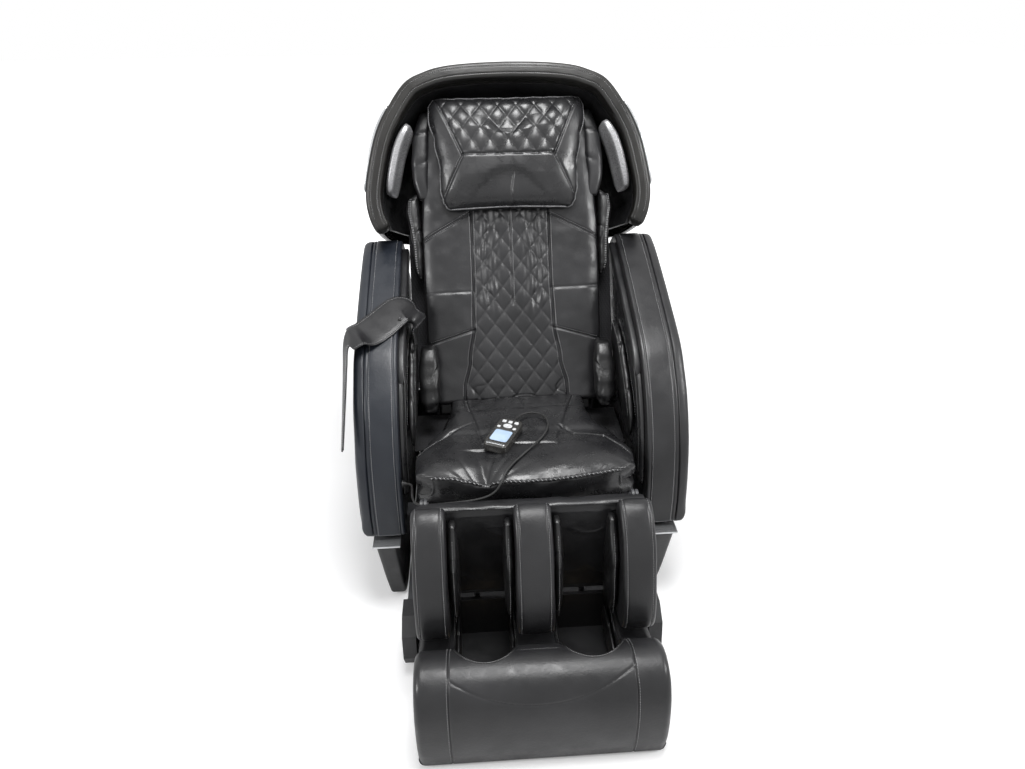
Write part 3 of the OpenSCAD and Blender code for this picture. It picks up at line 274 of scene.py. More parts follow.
def sew(body, path, normal, pitch=5.2, length=3.6, width=0.5, lift=0.25, shift=0.0):
    """A row of stitches: stretched octahedra at even steps along a path, lifted along its normals."""
    path, normal = rot(path), np.broadcast_to(rot(normal), np.shape(path))
    d = np.r_[0, np.cumsum(np.linalg.norm(np.diff(path, axis=0), axis=1))]
    at = np.arange(pitch / 2, d[-1] - pitch / 2, pitch)
    pick = lambda v, w: np.stack([np.interp(w, d, v[:, k]) for k in range(3)], -1)
    c, n = pick(path, at), pick(normal, at)
    n /= np.linalg.norm(n, axis=1)[:, None]
    t = pick(path, np.minimum(at + 1, d[-1])) - pick(path, at - 1)
    t /= np.linalg.norm(t, axis=1)[:, None]
    s = np.cross(n, t)
    c = c + n * lift + s * shift
    wide = width * 1.35
    star = [c - t * length / 2, c + t * length / 2, c - s * wide, c + s * wide, c - n * wide, c + n * wide]
    THREAD.setdefault(body, []).append(np.stack(star, 1))


STAR = np.array([[0, 2, 5], [0, 5, 3], [0, 3, 4], [0, 4, 2], [1, 5, 2], [1, 3, 5], [1, 4, 3], [1, 2, 4]])


def sewn(body, material):
    """All the stitches of a body as one mesh."""
    stars = np.concatenate(THREAD[body])
    faces = (STAR[None] + 6 * np.arange(len(stars))[:, None, None]).reshape(-1, 3)
    return finish_piece(new_object(f"stitches_{body}", stars.reshape(-1, 3), [faces]), body, material)

# %% [markdown]
# ## Finishes
# Leather is never one colour: its grain, its slow mottling and its rubbed places each change the
# colour, the gloss and the height a little. The same is true of moulded plastic and painted steel.
# Each effect is a node group built once; the shader stays in the material.


# %% Node helpers
def put(tree, kind, props=None, **sockets):
    """A node with its properties, and its sockets given as values or as other nodes' outputs."""
    made = tree.nodes.new("ShaderNode" + kind)
    for key, value in (props or {}).items():
        setattr(made, key, value)
    for key, value in sockets.items():
        spot = made.inputs[int(key[1:])] if key[1:].isdigit() else made.inputs[key.replace("_", " ")]
        if isinstance(value, bpy.types.NodeSocket):
            tree.links.new(value, spot)
        else:
            spot.default_value = value
    return made


def group(name, ins, outs):
    """An empty node group with number inputs and outputs, and its two end nodes."""
    tree = bpy.data.node_groups.new(name, "ShaderNodeTree")
    for label, value in ins.items():
        tree.interface.new_socket(name=label, in_out="INPUT", socket_type="NodeSocketFloat").default_value = value
    for label in outs:
        tree.interface.new_socket(name=label, in_out="OUTPUT", socket_type="NodeSocketFloat")
    return tree, tree.nodes.new("NodeGroupInput").outputs, tree.nodes.new("NodeGroupOutput").inputs


def maths(tree, how, a, b):
    return put(tree, "Math", {"operation": how}, _0=a, _1=b).outputs[0]


def spread(tree, value, low, high, to_low=0.0, to_high=1.0):
    """Value moved from low..high to to_low..to_high, with soft ends."""
    made = put(tree, "MapRange", {"interpolation_type": "SMOOTHSTEP"}, Value=value)
    for k, v in zip((1, 2, 3, 4), (low, high, to_low, to_high)):
        made.inputs[k].default_value = v
    return made.outputs[0]


# %% Shared effects
def make_grain():
    """Pebbled hide: two sizes of cells, faint fine creases and slow mottling."""
    tree, given, out = group("hide_grain", {"Scale": 500.0, "Creases": 0.4}, ("Height", "Tone", "Gloss"))
    where = put(tree, "TexCoord").outputs["Object"]
    small = put(tree, "TexVoronoi", Vector=where, Scale=given["Scale"]).outputs["Distance"]
    large = put(tree, "TexVoronoi", Vector=where, Scale=maths(tree, "MULTIPLY", given["Scale"], 0.41))
    fine = put(tree, "TexNoise", Vector=where, Scale=85.0, Detail=4.0, Distortion=1.4).outputs["Fac"]
    slow = put(tree, "TexNoise", Vector=where, Scale=7.0, Detail=3.0).outputs["Fac"]
    rub = put(tree, "TexNoise", Vector=where, Scale=23.0, Detail=5.0, Roughness=0.62).outputs["Fac"]
    pebbles = maths(tree, "ADD", maths(tree, "MULTIPLY", small, 0.55),
                    maths(tree, "MULTIPLY", large.outputs["Distance"], 0.45))
    lines = maths(tree, "MULTIPLY", spread(tree, fine, 0.42, 0.58), given["Creases"])
    tree.links.new(maths(tree, "ADD", pebbles, lines), out["Height"])
    tree.links.new(spread(tree, slow, 0.35, 0.7), out["Tone"])
    tree.links.new(spread(tree, rub, 0.36, 0.68), out["Gloss"])
    return tree


def make_mottle():
    """Slow change of tone, and fine speckle, for moulded plastic, paint and metal."""
    tree, given, out = group("mottle", {"Scale": 12.0, "Stretch": 1.0}, ("Tone", "Speck", "Height"))
    where = put(tree, "TexCoord").outputs["Object"]
    part = put(tree, "SeparateXYZ", Vector=where).outputs
    drawn = maths(tree, "DIVIDE", part[1], given["Stretch"])
    long = put(tree, "CombineXYZ", X=part[0], Y=drawn, Z=part[2]).outputs[0]
    slow = put(tree, "TexNoise", Vector=where, Scale=given["Scale"], Detail=3.0).outputs["Fac"]
    fine = put(tree, "TexNoise", Vector=long, Scale=420.0, Detail=2.0).outputs["Fac"]
    tree.links.new(spread(tree, slow, 0.35, 0.68), out["Tone"])
    tree.links.new(spread(tree, fine, 0.4, 0.66), out["Speck"])
    tree.links.new(fine, out["Height"])
    return tree


def make_knit():
    """Two crossed sets of fine ribs: sin(ax) and sin(bz), the larger of the two."""
    tree, given, out = group("knit", {"Ribs": 420.0}, ("Height", "Tone"))
    part = put(tree, "SeparateXYZ", Vector=put(tree, "TexCoord").outputs["Object"]).outputs
    turns = [maths(tree, "SINE", maths(tree, "MULTIPLY", maths(tree, "ADD", part[i], part[j]), given["Ribs"]), 0.0)
             for i, j in ((0, 1), (1, 2))]
    high = maths(tree, "MAXIMUM", *turns)
    tree.links.new(high, out["Height"])
    tree.links.new(spread(tree, high, -0.2, 1.0), out["Tone"])
    return tree


GRAIN, MOTTLE, KNIT = make_grain(), make_mottle(), make_knit()
print("shared effects:", [g.name for g in (GRAIN, MOTTLE, KNIT)])


# %% Materials
def blank(name, **constants):
    """A material and its Principled shader, with the numbers that never vary set on the shader."""
    made = bpy.data.materials.new(name)
    made.use_nodes = True
    shader = made.node_tree.nodes["Principled BSDF"]
    for key, value in constants.items():
        shader.inputs[key.replace("_", " ")].default_value = value
    return made, made.node_tree, shader


def effect(tree, what, **values):
    made = put(tree, "Group", {"node_tree": what})
    for key, value in values.items():
        made.inputs[key].default_value = value
    return made.outputs


def shades(tree, mask, dark, light, shader):
    """Base colour from dark to light by the mask."""
    mix = put(tree, "Mix", {"data_type": "RGBA"}, _0=mask, _6=(*dark, 1), _7=(*light, 1))
    tree.links.new(mix.outputs[2], shader.inputs["Base Color"])


def leather(name, dark, light, rough, scale=520.0, creases=0.45, relief=0.00022, level=0.42):
    """Grained hide: gloss rises where it is rubbed, and the grain stands up by relief metres."""
    made, tree, shader = blank(name, Specular_IOR_Level=level)
    grain = effect(tree, GRAIN, Scale=scale, Creases=creases)
    shades(tree, grain["Tone"], dark, light, shader)
    tree.links.new(spread(tree, grain["Gloss"], 0, 1, rough + 0.07, rough - 0.05), shader.inputs["Roughness"])
    bump = put(tree, "Bump", Height=grain["Height"], Strength=0.55, Distance=relief)
    tree.links.new(bump.outputs[0], shader.inputs["Normal"])
    return made


def moulded(name, dark, light, rough, scale=12.0, stretch=1.0, relief=0.0001, metal=0.0, **constants):
    """Plastic, paint or metal with slow mottling and a fine surface."""
    made, tree, shader = blank(name, Metallic=metal, **constants)
    mottle = effect(tree, MOTTLE, Scale=scale, Stretch=stretch)
    shades(tree, mottle["Tone"], dark, light, shader)
    tree.links.new(spread(tree, mottle["Speck"], 0, 1, rough - 0.04, rough + 0.06), shader.inputs["Roughness"])
    bump = put(tree, "Bump", Height=mottle["Height"], Strength=0.35, Distance=relief)
    tree.links.new(bump.outputs[0], shader.inputs["Normal"])
    return made


def knitted(name, dark, light, rough, ribs=900.0):
    made, tree, shader = blank(name, Sheen_Weight=0.25, Sheen_Roughness=0.5, Specular_IOR_Level=0.2)
    knit = effect(tree, KNIT, Ribs=ribs)
    shades(tree, knit["Tone"], dark, light, shader)
    shader.inputs["Roughness"].default_value = rough
    bump = put(tree, "Bump", Height=knit["Height"], Strength=0.5, Distance=0.0003)
    tree.links.new(bump.outputs[0], shader.inputs["Normal"])
    return made


HIDE = leather("black_hide", (0.012, 0.012, 0.013), (0.020, 0.020, 0.0215), 0.34)
SOFT_HIDE = leather("soft_hide", (0.010, 0.010, 0.011), (0.018, 0.018, 0.019), 0.29, 460.0, 0.35, level=0.5)
# Painted reflection: the same black hide with a bluish tint that stands in for the cool light it reflects; it covers
# the left arm.
BLUE_REFLECTION_PAINTED_HIDE = leather("hide_with_painted_blue_reflection", (0.011, 0.0135, 0.019), (0.018, 0.021, 0.027), 0.35)
# Painted reflection: the same black hide with a faint warm tint that stands in for the warm light it reflects; it
# covers the hood band.
WARM_REFLECTION_PAINTED_HIDE = leather("hide_with_painted_warm_reflection", (0.009, 0.0087, 0.008), (0.017, 0.0162, 0.015), 0.34, 520.0, 0.3, level=0.42)
THIN_HIDE = leather("thin_hide", (0.006, 0.006, 0.0065), (0.012, 0.012, 0.0125), 0.33, 640.0, 0.6, 0.0003, 0.42)
LINING = knitted("lining_knit", (0.006, 0.006, 0.007), (0.018, 0.018, 0.02), 0.85)
THREADS = moulded("thread", (0.42, 0.42, 0.43), (0.58, 0.58, 0.59), 0.5, 300.0)
PIPING = moulded("light_piping", (0.10, 0.10, 0.105), (0.17, 0.17, 0.175), 0.34, 40.0)
POD = moulded("pod_paint", (0.34, 0.34, 0.35), (0.46, 0.46, 0.47), 0.30, 9.0, 1.0, 0.00005, 0.55)
SILVER = moulded("silver_trim", (0.50, 0.51, 0.52), (0.62, 0.63, 0.64), 0.24, 9.0, 0.05, 0.00008, 0.9)
SHELL = moulded("gloss_shell", (0.030, 0.029, 0.027), (0.044, 0.042, 0.040), 0.26, 6.0,
                Coat_Weight=0.35, Coat_Roughness=0.12)
PLASTIC = moulded("black_plastic", (0.014, 0.014, 0.015), (0.024, 0.024, 0.026), 0.52, 20.0, 1.0, 0.00025)
STEEL = moulded("painted_steel", (0.035, 0.036, 0.039), (0.055, 0.056, 0.060), 0.42, 16.0, 1.0, 0.0002)
ROD = moulded("chromed_rod", (0.60, 0.60, 0.62), (0.70, 0.70, 0.72), 0.13, 30.0, 0.1, 0.00003, 1.0)
ALLOY = moulded("cast_alloy", (0.36, 0.37, 0.38), (0.50, 0.51, 0.53), 0.42, 26.0, 1.0, 0.0003, 0.85)
RUBBER = moulded("rubber", (0.010, 0.010, 0.010), (0.020, 0.020, 0.020), 0.68, 30.0, 1.0, 0.0003)
ROLLER = moulded("roller_nylon", (0.34, 0.25, 0.14), (0.46, 0.36, 0.22), 0.40, 30.0)
KEYS = moulded("key_caps", (0.55, 0.56, 0.57), (0.68, 0.69, 0.70), 0.35, 60.0)
SCREEN = moulded("screen_glass", (0.30, 0.40, 0.54), (0.38, 0.48, 0.62), 0.09, 40.0, 1.0, 0.00002,
                 Emission_Color=(0.45, 0.58, 0.75, 1), Emission_Strength=0.22, Coat_Weight=0.6)
SWITCH = moulded("switch_red", (0.30, 0.012, 0.012), (0.42, 0.02, 0.02), 0.28, 60.0)
print(len(bpy.data.materials), "materials")

# %% [markdown]
# ## The studio
# A pale floor, a wide soft lamp overhead and a softer one on each side. The world is white only where
# the camera or a gloss looks at it, so the object itself is lit at a plain level.

# %% Floor, world and lamps
floor_mesh = bpy.data.meshes.new("floor")
floor_mesh.from_pydata([(-9, -7, 0), (9, -7, 0), (9, 12, 0), (-9, 12, 0)], [], [(0, 1, 2, 3)])
floor = bpy.data.objects.new("floor", floor_mesh)
bpy.context.scene.collection.objects.link(floor)
made, tree, shader = blank("floor_paper", Roughness=0.9, Specular_IOR_Level=0.1)
shader.inputs["Base Color"].default_value = (0.86, 0.86, 0.865, 1)
path_kind = put(tree, "LightPath").outputs
where = put(tree, "TexCoord").outputs["Object"]
away = put(tree, "VectorMath", {"operation": "LENGTH"}, _0=where).outputs["Value"]
# Painted shade: the floor's glow towards the camera is weakest close to the chair and full white further out, so the
# ground round the chair is darker than the lamps alone make it.
glow_with_painted_shade_near_chair = spread(tree, away, 0.7, 2.6, 0.2, 1.0)
seen = maths(tree, "MULTIPLY", path_kind["Is Camera Ray"], glow_with_painted_shade_near_chair)
glow = put(tree, "Emission", Color=(1, 1, 1, 1), Strength=seen)
both = put(tree, "AddShader", _0=shader.outputs[0], _1=glow.outputs[0])
tree.links.new(both.outputs[0], tree.nodes["Material Output"].inputs[0])
floor_mesh.materials.append(made)

world = bpy.data.worlds.new("studio")
bpy.context.scene.world = world
world.use_nodes = True
tree = world.node_tree
path_kind = put(tree, "LightPath").outputs
seen = maths(tree, "MAXIMUM", path_kind["Is Glossy Ray"], path_kind["Is Transmission Ray"])
seen = maths(tree, "MAXIMUM", path_kind["Is Camera Ray"], seen)
sky = tree.nodes["Background"]
sky.inputs["Color"].default_value = (1, 1, 1, 1)
tree.links.new(spread(tree, seen, 0, 1, 0.42, 1.0), sky.inputs["Strength"])


def lamp(name, place, aim, size, power):
    """A square soft lamp at place, turned to aim."""
    data = bpy.data.lights.new(name, "AREA")
    data.energy, data.size = power, size
    made = bpy.data.objects.new(name, data)
    made.location = place
    made.rotation_euler = (Vector(aim) - Vector(place)).to_track_quat("-Z", "Y").to_euler()
    bpy.context.scene.collection.objects.link(made)


lamp("overhead", (0.1, -0.3, 2.9), (0, 0.0, 0.4), 1.0, 60)
lamp("left_soft", (-2.1, -1.2, 1.7), (0, 0.0, 0.6), 0.6, 26)
lamp("right_soft", (2.2, -0.9, 2.0), (0, 0.1, 0.7), 0.6, 34)
print("studio ready")

# %% [markdown]
# ## The handset and its cord
# The wired handset lies loose on the seat. Its cord leaves the far end, makes one flat loop, drops
# over the seat's front edge and goes into a gland inside the left arm. A cord has one fixed length,
# so its route is settled first and everything else is fitted round it.

# %% Cord
GLAND = rot([-279.7, -190, 336])
CORD_POINTS = [
    [-20, -95.5, 427], [-14, -83, 427], [-7, -70, 426], [8, -55, 424], [32, -48, 422], [52, -60, 422],
    [61, -84, 423], [60, -112, 423], [46, -146, 423], [22, -180, 423], [-4, -212, 422], [-30, -244, 421],
    [-48, -272, 418], [-58, -292, 408], [-70, -299, 392], [-90, -302, 380], [-120, -302, 372],
    [-160, -302, 368], [-196, -300, 364], [-226, -294, 359], [-244, -278, 353], [-252, -252, 347],
    [-255, -222, 341], GLAND + [22.5, -11.5, 1], GLAND + [21, -5.7, 0.6], GLAND + [16.75, -1.5, 0.2],
    GLAND + [11, 0, 0], GLAND + [5.7, 0, 0], GLAND + [0.4, 0, 0],
]
CORD_RADIUS = 2.5
cord_path = curve(CORD_POINTS, 8)[::-1]
cord = loft("handset_lead", tube(cord_path, CORD_RADIUS, 12), "base", RUBBER, ["handset_cord"])

# %% [markdown]
# The case is one skin carried up through rounded rings: a small foot, straight sides, a soft top
# edge, then in again to the screen's recess. The caps of the keys are the same ring with other sizes.

# %% Handset
REMOTE_AT, REMOTE_TURN = rot([-45, -146, 414.6]), math.radians(-26)


def on_remote(p):
    """Points of the handset's own frame, turned by REMOTE_TURN on the seat."""
    c, s = math.cos(REMOTE_TURN), math.sin(REMOTE_TURN)
    x, y, z = rot(p)[..., 0], rot(p)[..., 1], rot(p)[..., 2]
    return np.stack([x * c - y * s, x * s + y * c, z], -1) + REMOTE_AT


def stack(steps, n=72, e=7.0):
    """Rings of half sizes a, b at height z, with their centre at cy."""
    return np.stack([np.c_[ring(a, b, e, n) + [0, cy], np.full(n, z)] for a, b, z, cy in steps])


CASE = [(24, 51, 0, 0), (25.5, 52.5, 0.6, 0), (28.2, 55.2, 2.6, 0), (29, 56, 4.5, 0), (29, 56, 19.6, 0),
        (28.4, 55.4, 21.2, 0), (27.2, 54.2, 22, 0), (21.6, 22.6, 22, -14), (21.1, 22.1, 21.7, -14),
        (21, 22, 20, -14)]
BAR_Y = -46.5
loft("handset_case", on_remote(stack(CASE)), "base", SHELL, ["handset"])
bar = [(22, 3.6, 21.6, BAR_Y), (22, 3.6, 22.5, BAR_Y), (21.4, 3, 22.9, BAR_Y)]
slot = stack([(0.7, 2.2, 22.6, 0), (0.7, 2.2, 23.05, 0)], 16)
slots = [on_remote(slot + [x, BAR_Y, 0]) for x in np.linspace(-17.5, 17.5, 8)]
loft("handset_bar", on_remote(stack(bar)), "base", SILVER)
lofts("handset_slots", slots, "base", PLASTIC)
CAPS = {"key_1": (-15, 42, 4.7, 4.4), "key_2": (0, 42, 4.7, 4.4), "key_3": (15, 42, 4.7, 4.4),
        "key_wheel": (0, 25, 10.5, 7.6), "key_left": (-19, 18, 3.6, 3.4), "key_right": (19, 18, 3.6, 3.4)}
for key, (x, y, a, b) in CAPS.items():
    e = 2.2 if key == "key_wheel" else 6.0
    rows = [(a, b, 19.5, 0), (a, b, 23.4, 0), (a - 0.4, b - 0.4, 23.8, 0), (a - 1.3, b - 1.3, 24, 0)]
    if key == "key_wheel":
        rows += [(3.4, 3.0, 24, 0), (3.0, 2.6, 23.2, 0)]
    body = key.replace("key", "button")
    loft(key + "_cap", on_remote(stack(rows, 40, e) + [x, y, 0]), body, KEYS, [key])

# %% [markdown]
# ## The arms
# Each arm is a moulded core wrapped in leather: a padded strip follows the outline over the top, and
# a side cover rolls over onto the outer face. Both are a cross profile carried along one outline, so
# the seam between them stays true all the way round.

# %% Arm outline
ARM_POINTS = [[-222, 206], [-214, 300], [-184, 410], [-134, 498], [-90, 546], [-30, 595], [80, 645],
              [190, 690], [290, 724], [346, 722], [420, 650], [484, 510], [498, 360], [478, 206]]
arm_path = even(curve(ARM_POINTS, 16), 240)
arm_out = normals(arm_path)
arm_reach = np.r_[0, np.cumsum(np.linalg.norm(np.diff(arm_path, axis=0), axis=1))]
foot_roll = sum(9 * (1 - np.sqrt(1 - (1 - np.clip(a / 9, 0, 1)) ** 2))
                for a in (arm_reach, arm_reach[-1] - arm_reach))
ARM_LOW, ARM_FRONT, ARM_REAR = 206, -222, 478


def on_arm(x, d):
    """Points at x and at depth d inside the outline, one row for each outline point."""
    d = np.broadcast_to(d, (len(arm_path), np.shape(x)[-1]))
    p = arm_path[:, None] - arm_out[:, None] * d[..., None]
    return np.stack([np.broadcast_to(x, d.shape), p[..., 0], np.maximum(p[..., 1], ARM_LOW)], -1)


def strip_top(x):
    """Depth of the strip's face: crowned by 2 - 2|u|^4, with a sewn groove inside each edge."""
    u = (x - 317.5) / 32.5
    return 1.9 * np.abs(u) ** 4 - 1.9 + 1.9 * groove(x - 289.5, 1.5) + 1.9 * groove(x - 345.5, 1.5)


bend = np.linspace(0, np.pi / 2, 7)
xs = np.linspace(285, 350, 44)
strip_x = np.r_[[280] * 4, 285 - 5 * np.cos(bend), xs[1:-1], 350.3 + 4.7 * np.sin(bend), [355] * 4]
strip_d = np.r_[30, 22, 14, 8, 5 - 5 * np.sin(bend), strip_top(xs[1:-1]), 5 - 5 * np.cos(bend), 8, 14, 22, 30]
wave = 0.5 * noise(arm_reach[:, None], strip_x[None] * 1.0, 46, 1) * (strip_d < 4)
strip = on_arm(strip_x, strip_d + foot_roll[:, None] + wave)

# %% [markdown]
# The side cover's face has to fill the whole outline. Each point of the outline is joined to the
# point of the lower edge straight below it, which makes a grid with no centre to pinch.

# %% Side cover
SEAM_X = 355.3
roll = rot([[SEAM_X, 0], [359, 0], [362.3, 0.1], [366, 0.5], [370, 1.7], [373, 3.2], [375.6, 5.4],
            [377.8, 8.6], [379.2, 12.6], [380, 18]])
short = np.clip((arm_path[:, 1] - ARM_LOW) / 60, 0.02, 1)[:, None]
upper = on_arm(roll[:, 0], roll[:, 1] * short + foot_roll[:, None] * 0.7)
foot_y = np.maximum.accumulate(np.clip(upper[:, -1, 1], ARM_FRONT, ARM_REAR))
low_y = np.clip(foot_y[:, None], ARM_FRONT + roll[:, 1] + 1, ARM_REAR - roll[:, 1] - 1)
lower = np.stack([np.broadcast_to(roll[:, 0], low_y.shape), low_y, ARM_LOW + roll[:, 1] * 0.6 * short], -1)
down = np.linspace(0, 1, 56)[None, 1:-1, None]
face = upper[:, -1:] * (1 - down) + lower[:, -1:] * down
from_edge = 18 + np.linalg.norm(face - upper[:, -1:], axis=-1)
from_low = face[..., 2] - ARM_LOW
seam = 1.6 * groove(from_edge - 34, 2.2) * (from_low > 24) + 1.6 * groove(from_low - 26, 2.2) * (from_edge > 34)
swell = 3.2 * np.clip((from_edge - 18) / 40, 0, 1) ** 0.6 * np.clip(from_low / 50, 0, 1) ** 0.6
face[..., 0] += swell * short - seam * short + 0.7 * noise(face[..., 1], face[..., 2], 70, 2) * short
cover = np.concatenate([upper, face, lower[:, ::-1]], 1)
under = 1 - np.sqrt(1 - (1 - np.clip((cover[..., 2] - ARM_LOW) / 26, 0, 1)) ** 2)
cover[..., 0] -= under * np.maximum(cover[..., 0] - SEAM_X, 0)


def weld(thing, near=0.02):
    """Joins points closer than near mm, so that where a grid closes on itself the skin is shut."""
    made = bmesh.new()
    made.from_mesh(thing.data)
    bmesh.ops.remove_doubles(made, verts=made.verts, dist=near * MM)
    bmesh.ops.dissolve_degenerate(made, edges=made.edges, dist=near * MM * 0.5)
    made.to_mesh(thing.data)
    made.free()
    return thing


# %% Liner and strap
LINER_POINTS = [[-186, 300], [-160, 400], [-118, 480], [-60, 540], [20, 592], [120, 634], [210, 668],
                [290, 676], [340, 600], [360, 480], [350, 330], [250, 300]]
liner_rim = even(curve(LINER_POINTS + LINER_POINTS[:1], 12), 200)[:-1]
liner_heart = rot([110, 450])


def disc(rim, heart, steps):
    """Rings of the rim drawn in to its heart by f, each at its own x: (f, x) rows."""
    flat = heart + (rim - heart) * rot(steps)[:, 0, None, None]
    return np.concatenate([np.broadcast_to(rot(steps)[:, 1, None, None], (*flat.shape[:2], 1)), flat], -1)


shrink = [0.02, 0.3, 0.6, 0.8, 0.9, 0.95, 0.975, 0.99, 0.998, 1.0]
bulge = [263.4, 263.4, 263.5, 263.7, 264.2, 265.4, 267.4, 270.4, 274, 277]
liner = disc(liner_rim, liner_heart, [(0.02, 279.6), (0.9, 279.6), (1.0, 279.6), *zip(shrink[::-1], bulge[::-1])])
inward = np.array([0, 0, 0, *[1 if f < 0.97 else 0 for f in shrink[::-1]]])[:, None]
gathers = np.clip(noise(liner[..., 1] + liner[..., 2] * 0.6, liner[..., 2] * 0.25, 17, 3), 0, 1)
channels = groove(np.abs(liner[..., 1] * 0.9 - liner[..., 2] + 430) % 70 - 35, 3)
liner[..., 0] += inward * (1.5 * channels + 1.2 * gathers)

# The left arm's hide carries a painted bluish reflection; the right arm's hide is plain.
for name, flip, look_of in (("left", -1, BLUE_REFLECTION_PAINTED_HIDE), ("right", 1, HIDE)):
    turned = lambda rows: rot(rows) * [flip, 1, 1]
    weld(loft(f"arm_strip_{name}_leather", turned(strip), "base", look_of, [f"arm_strip_{name}"]))
    weld(loft(f"arm_cover_{name}_leather", turned(cover), "base", look_of, [f"arm_cover_{name}"]))
    for x in (292.6, 342.4):
        line = on_arm(rot([x]), strip_top(rot([x])) - 0.1 + foot_roll[:, None])[:, 0]
        sew("base", turned(line), turned(np.c_[np.zeros(240), arm_out]), width=0.42)
lofts("arm_liner_pads", [liner, mirror(liner)], "base", SOFT_HIDE, ["arm_liners"])
rim_path = np.c_[np.full(200, 277.5), np.r_[liner_rim, liner_rim[:1]]]
rim_keep = rim_path[(rim_path[:, 1] < 130) & (rim_path[:, 2] > 330)] - [12.5, 0, 0]
lofts("arm_liner_piping", [tube(p, 1.9, 8) for p in (rim_keep, mirror(rim_keep))], "base", THIN_HIDE)

q = ring(9.6, 17, 4, 40)
inner = on_arm(273 + q[:, 0], 36 + q[:, 1] + 1.5 * noise(arm_reach[:, None], q[None, :, 1], 60, 22))
keep = (arm_path[:, 0] > -95) & (arm_path[:, 0] < 352)
inner = inner[keep]
ends = np.clip(np.minimum(np.arange(len(inner)), np.arange(len(inner))[::-1]) / 6, 0.05, 1)[:, None, None]
middle = inner.mean(1, keepdims=True)
inner = middle + (inner - middle) * np.sqrt(1 - (1 - ends) ** 2)
lofts("arm_inner_rolls", [inner, mirror(inner)], "base", HIDE, ())
STRAP_MID = [[-239, 66, 570], [-243, 70, 600], [-256, 74, 633], [-276, 75, 648], [-318, 38, 628.3],
             [-350, 8, 619], [-374, -12, 622], [-392, -22, 602], [-394, -62, 566], [-394, -110, 527],
             [-394, -160, 490], [-394, -212, 452]]
STRAP_UP = [[-1, 0, 0.1], [-1, 0, 0.2], [0.6, -0.3, 0.7], [0.1, -0.36, 0.9], [0, -0.42, 0.91], [0, -0.42, 0.91],
            [-0.35, -0.4, 0.8], [-1, -0.3, 0.3], [-0.93, -0.36, 0.1], [-0.93, -0.36, 0.1], [-0.93, -0.36, 0.1],
            [-0.93, -0.36, 0.1]]
strap_mid, strap_up = curve(STRAP_MID, 14), curve(STRAP_UP, 14)
t = np.gradient(strap_mid, axis=0)
t /= np.linalg.norm(t, axis=1)[:, None]
across = np.cross(t, strap_up)
across /= np.linalg.norm(across, axis=1)[:, None]
top = np.cross(across, t)
along = np.linspace(0, 1, len(strap_mid))
half = 37 + 7 * np.sin(np.pi * np.clip((along - 0.12) / 0.5, 0, 1)) ** 2
half = half * (1 - 0.72 * np.clip((along - 0.6) / 0.4, 0, 1) ** 1.2)
u = np.r_[np.linspace(-1, 1, 25), np.linspace(1, -1, 9)[1:-1]]
crown = np.where(np.arange(len(u)) < 25, 3.0 + 1.5 * (1 - u**4) - 0.9 * groove((np.abs(u) - 0.86) * 37, 1.4), 0)
strap = strap_mid[:, None] + across[:, None] * (half[:, None] * u)[..., None] + top[:, None] * crown[None, :, None]
ripple = 1.4 * noise(along[:, None] * 600, u[None] * 40, 60, 4) * (1 - u[None] ** 2) * (crown > 0)
strap += top[:, None] * ripple[..., None]
belt = loft("arm_strap_leather", strap, "base", HIDE, ["arm_strap"])
strap_length = np.linalg.norm(np.diff(strap_mid, axis=0), axis=1).sum()
for s in (-0.86, 0.86):
    sew("base", strap_mid + across * (half * s)[:, None] + top * 4.0, top, width=0.4)


# %% [markdown]
# ### Gathered airbags
# The airbags are thin bags drawn up by elastic: they crumple in short folds across their length.
# Noise that changes fast along the bag and slowly round it gives just such folds.


# %% Airbags
def bag(centres, across, up, a, b, folds=9.0, depth=0.16, turn=3.0, n=44, shift=0):
    """A closed bag: rings of half sizes a and b along centres, each drawn in by noise that runs across it."""
    s = np.r_[0, np.cumsum(np.linalg.norm(np.diff(centres, axis=0), axis=1))]
    w = 2 * np.pi * (np.arange(n) + 0.5) / n
    shape = ring(1, 1, turn, n)
    crumple = noise(s[:, None] + 5 * np.sin(w), 26 * np.sin(w) + 0 * s[:, None], folds, shift)
    sharp = crease(s[:, None], 30 * np.cos(w), folds * 2.2, shift + 1)
    crumple = 1 - depth * (0.5 + 0.5 * crumple) - depth * 0.8 * sharp
    ends = np.sin(np.pi * np.clip((s / s[-1]) * 0.96 + 0.02, 0, 1)) ** 0.22
    size = np.stack([np.broadcast_to(a, s.shape), np.broadcast_to(b, s.shape)], -1) * ends[:, None]
    q = shape[None] * size[:, None] * crumple[..., None]
    return centres[:, None] + q[..., :1] * rot(across) + q[..., 1:] * rot(up)


v = np.linspace(0, 1, 110)
y = -120 + 254 * v
forearm = np.stack([np.full(110, 253.4), y, look([[-120, 420], [20, 500], [140, 550]], y)], -1)
forearm_bag = bag(forearm, [1, 0, 0], [0, 0, 1], 10.2, 52, 17, 0.14, 3, shift=5)
z = 408 + 132 * v
hip = np.stack([np.full(110, 215.9), look([[408, 10], [470, 36], [540, 84]], z), z], -1)
hip_bag = bag(hip, [1, 0, 0], [0, 1, 0], 28, 40 - 12 * v, 20, 0.15, 3, shift=8)
lofts("forearm_airbag_skins", [forearm_bag, mirror(forearm_bag)], "base", THIN_HIDE, ["forearm_airbags"])
lofts("hip_airbag_skins", [hip_bag, mirror(hip_bag)], "base", THIN_HIDE, ["hip_airbags"])
high = 51 * np.sin(np.pi * np.clip(v * 0.96 + 0.02, 0, 1)) ** 0.22
for x in (244.5, 262.5):
    edge = forearm + np.c_[np.full(110, x - 253.4), np.zeros(110), high]
    for flip in (-1, 1):
        sew("base", edge * [flip, 1, 1], [0, 0, 1], 6, 3.4, 0.5)

# %% [markdown]
# ## Cloth under pressure
# A stuffed pad is cloth held out by what is inside it. A coarse copy of a pad's grid is blown up
# with Blender's cloth solver, and how far each point moved is read back, limited, and carried to the
# fine grid by straight interpolation. The seams are pressed in afterwards, so none of them is lost.


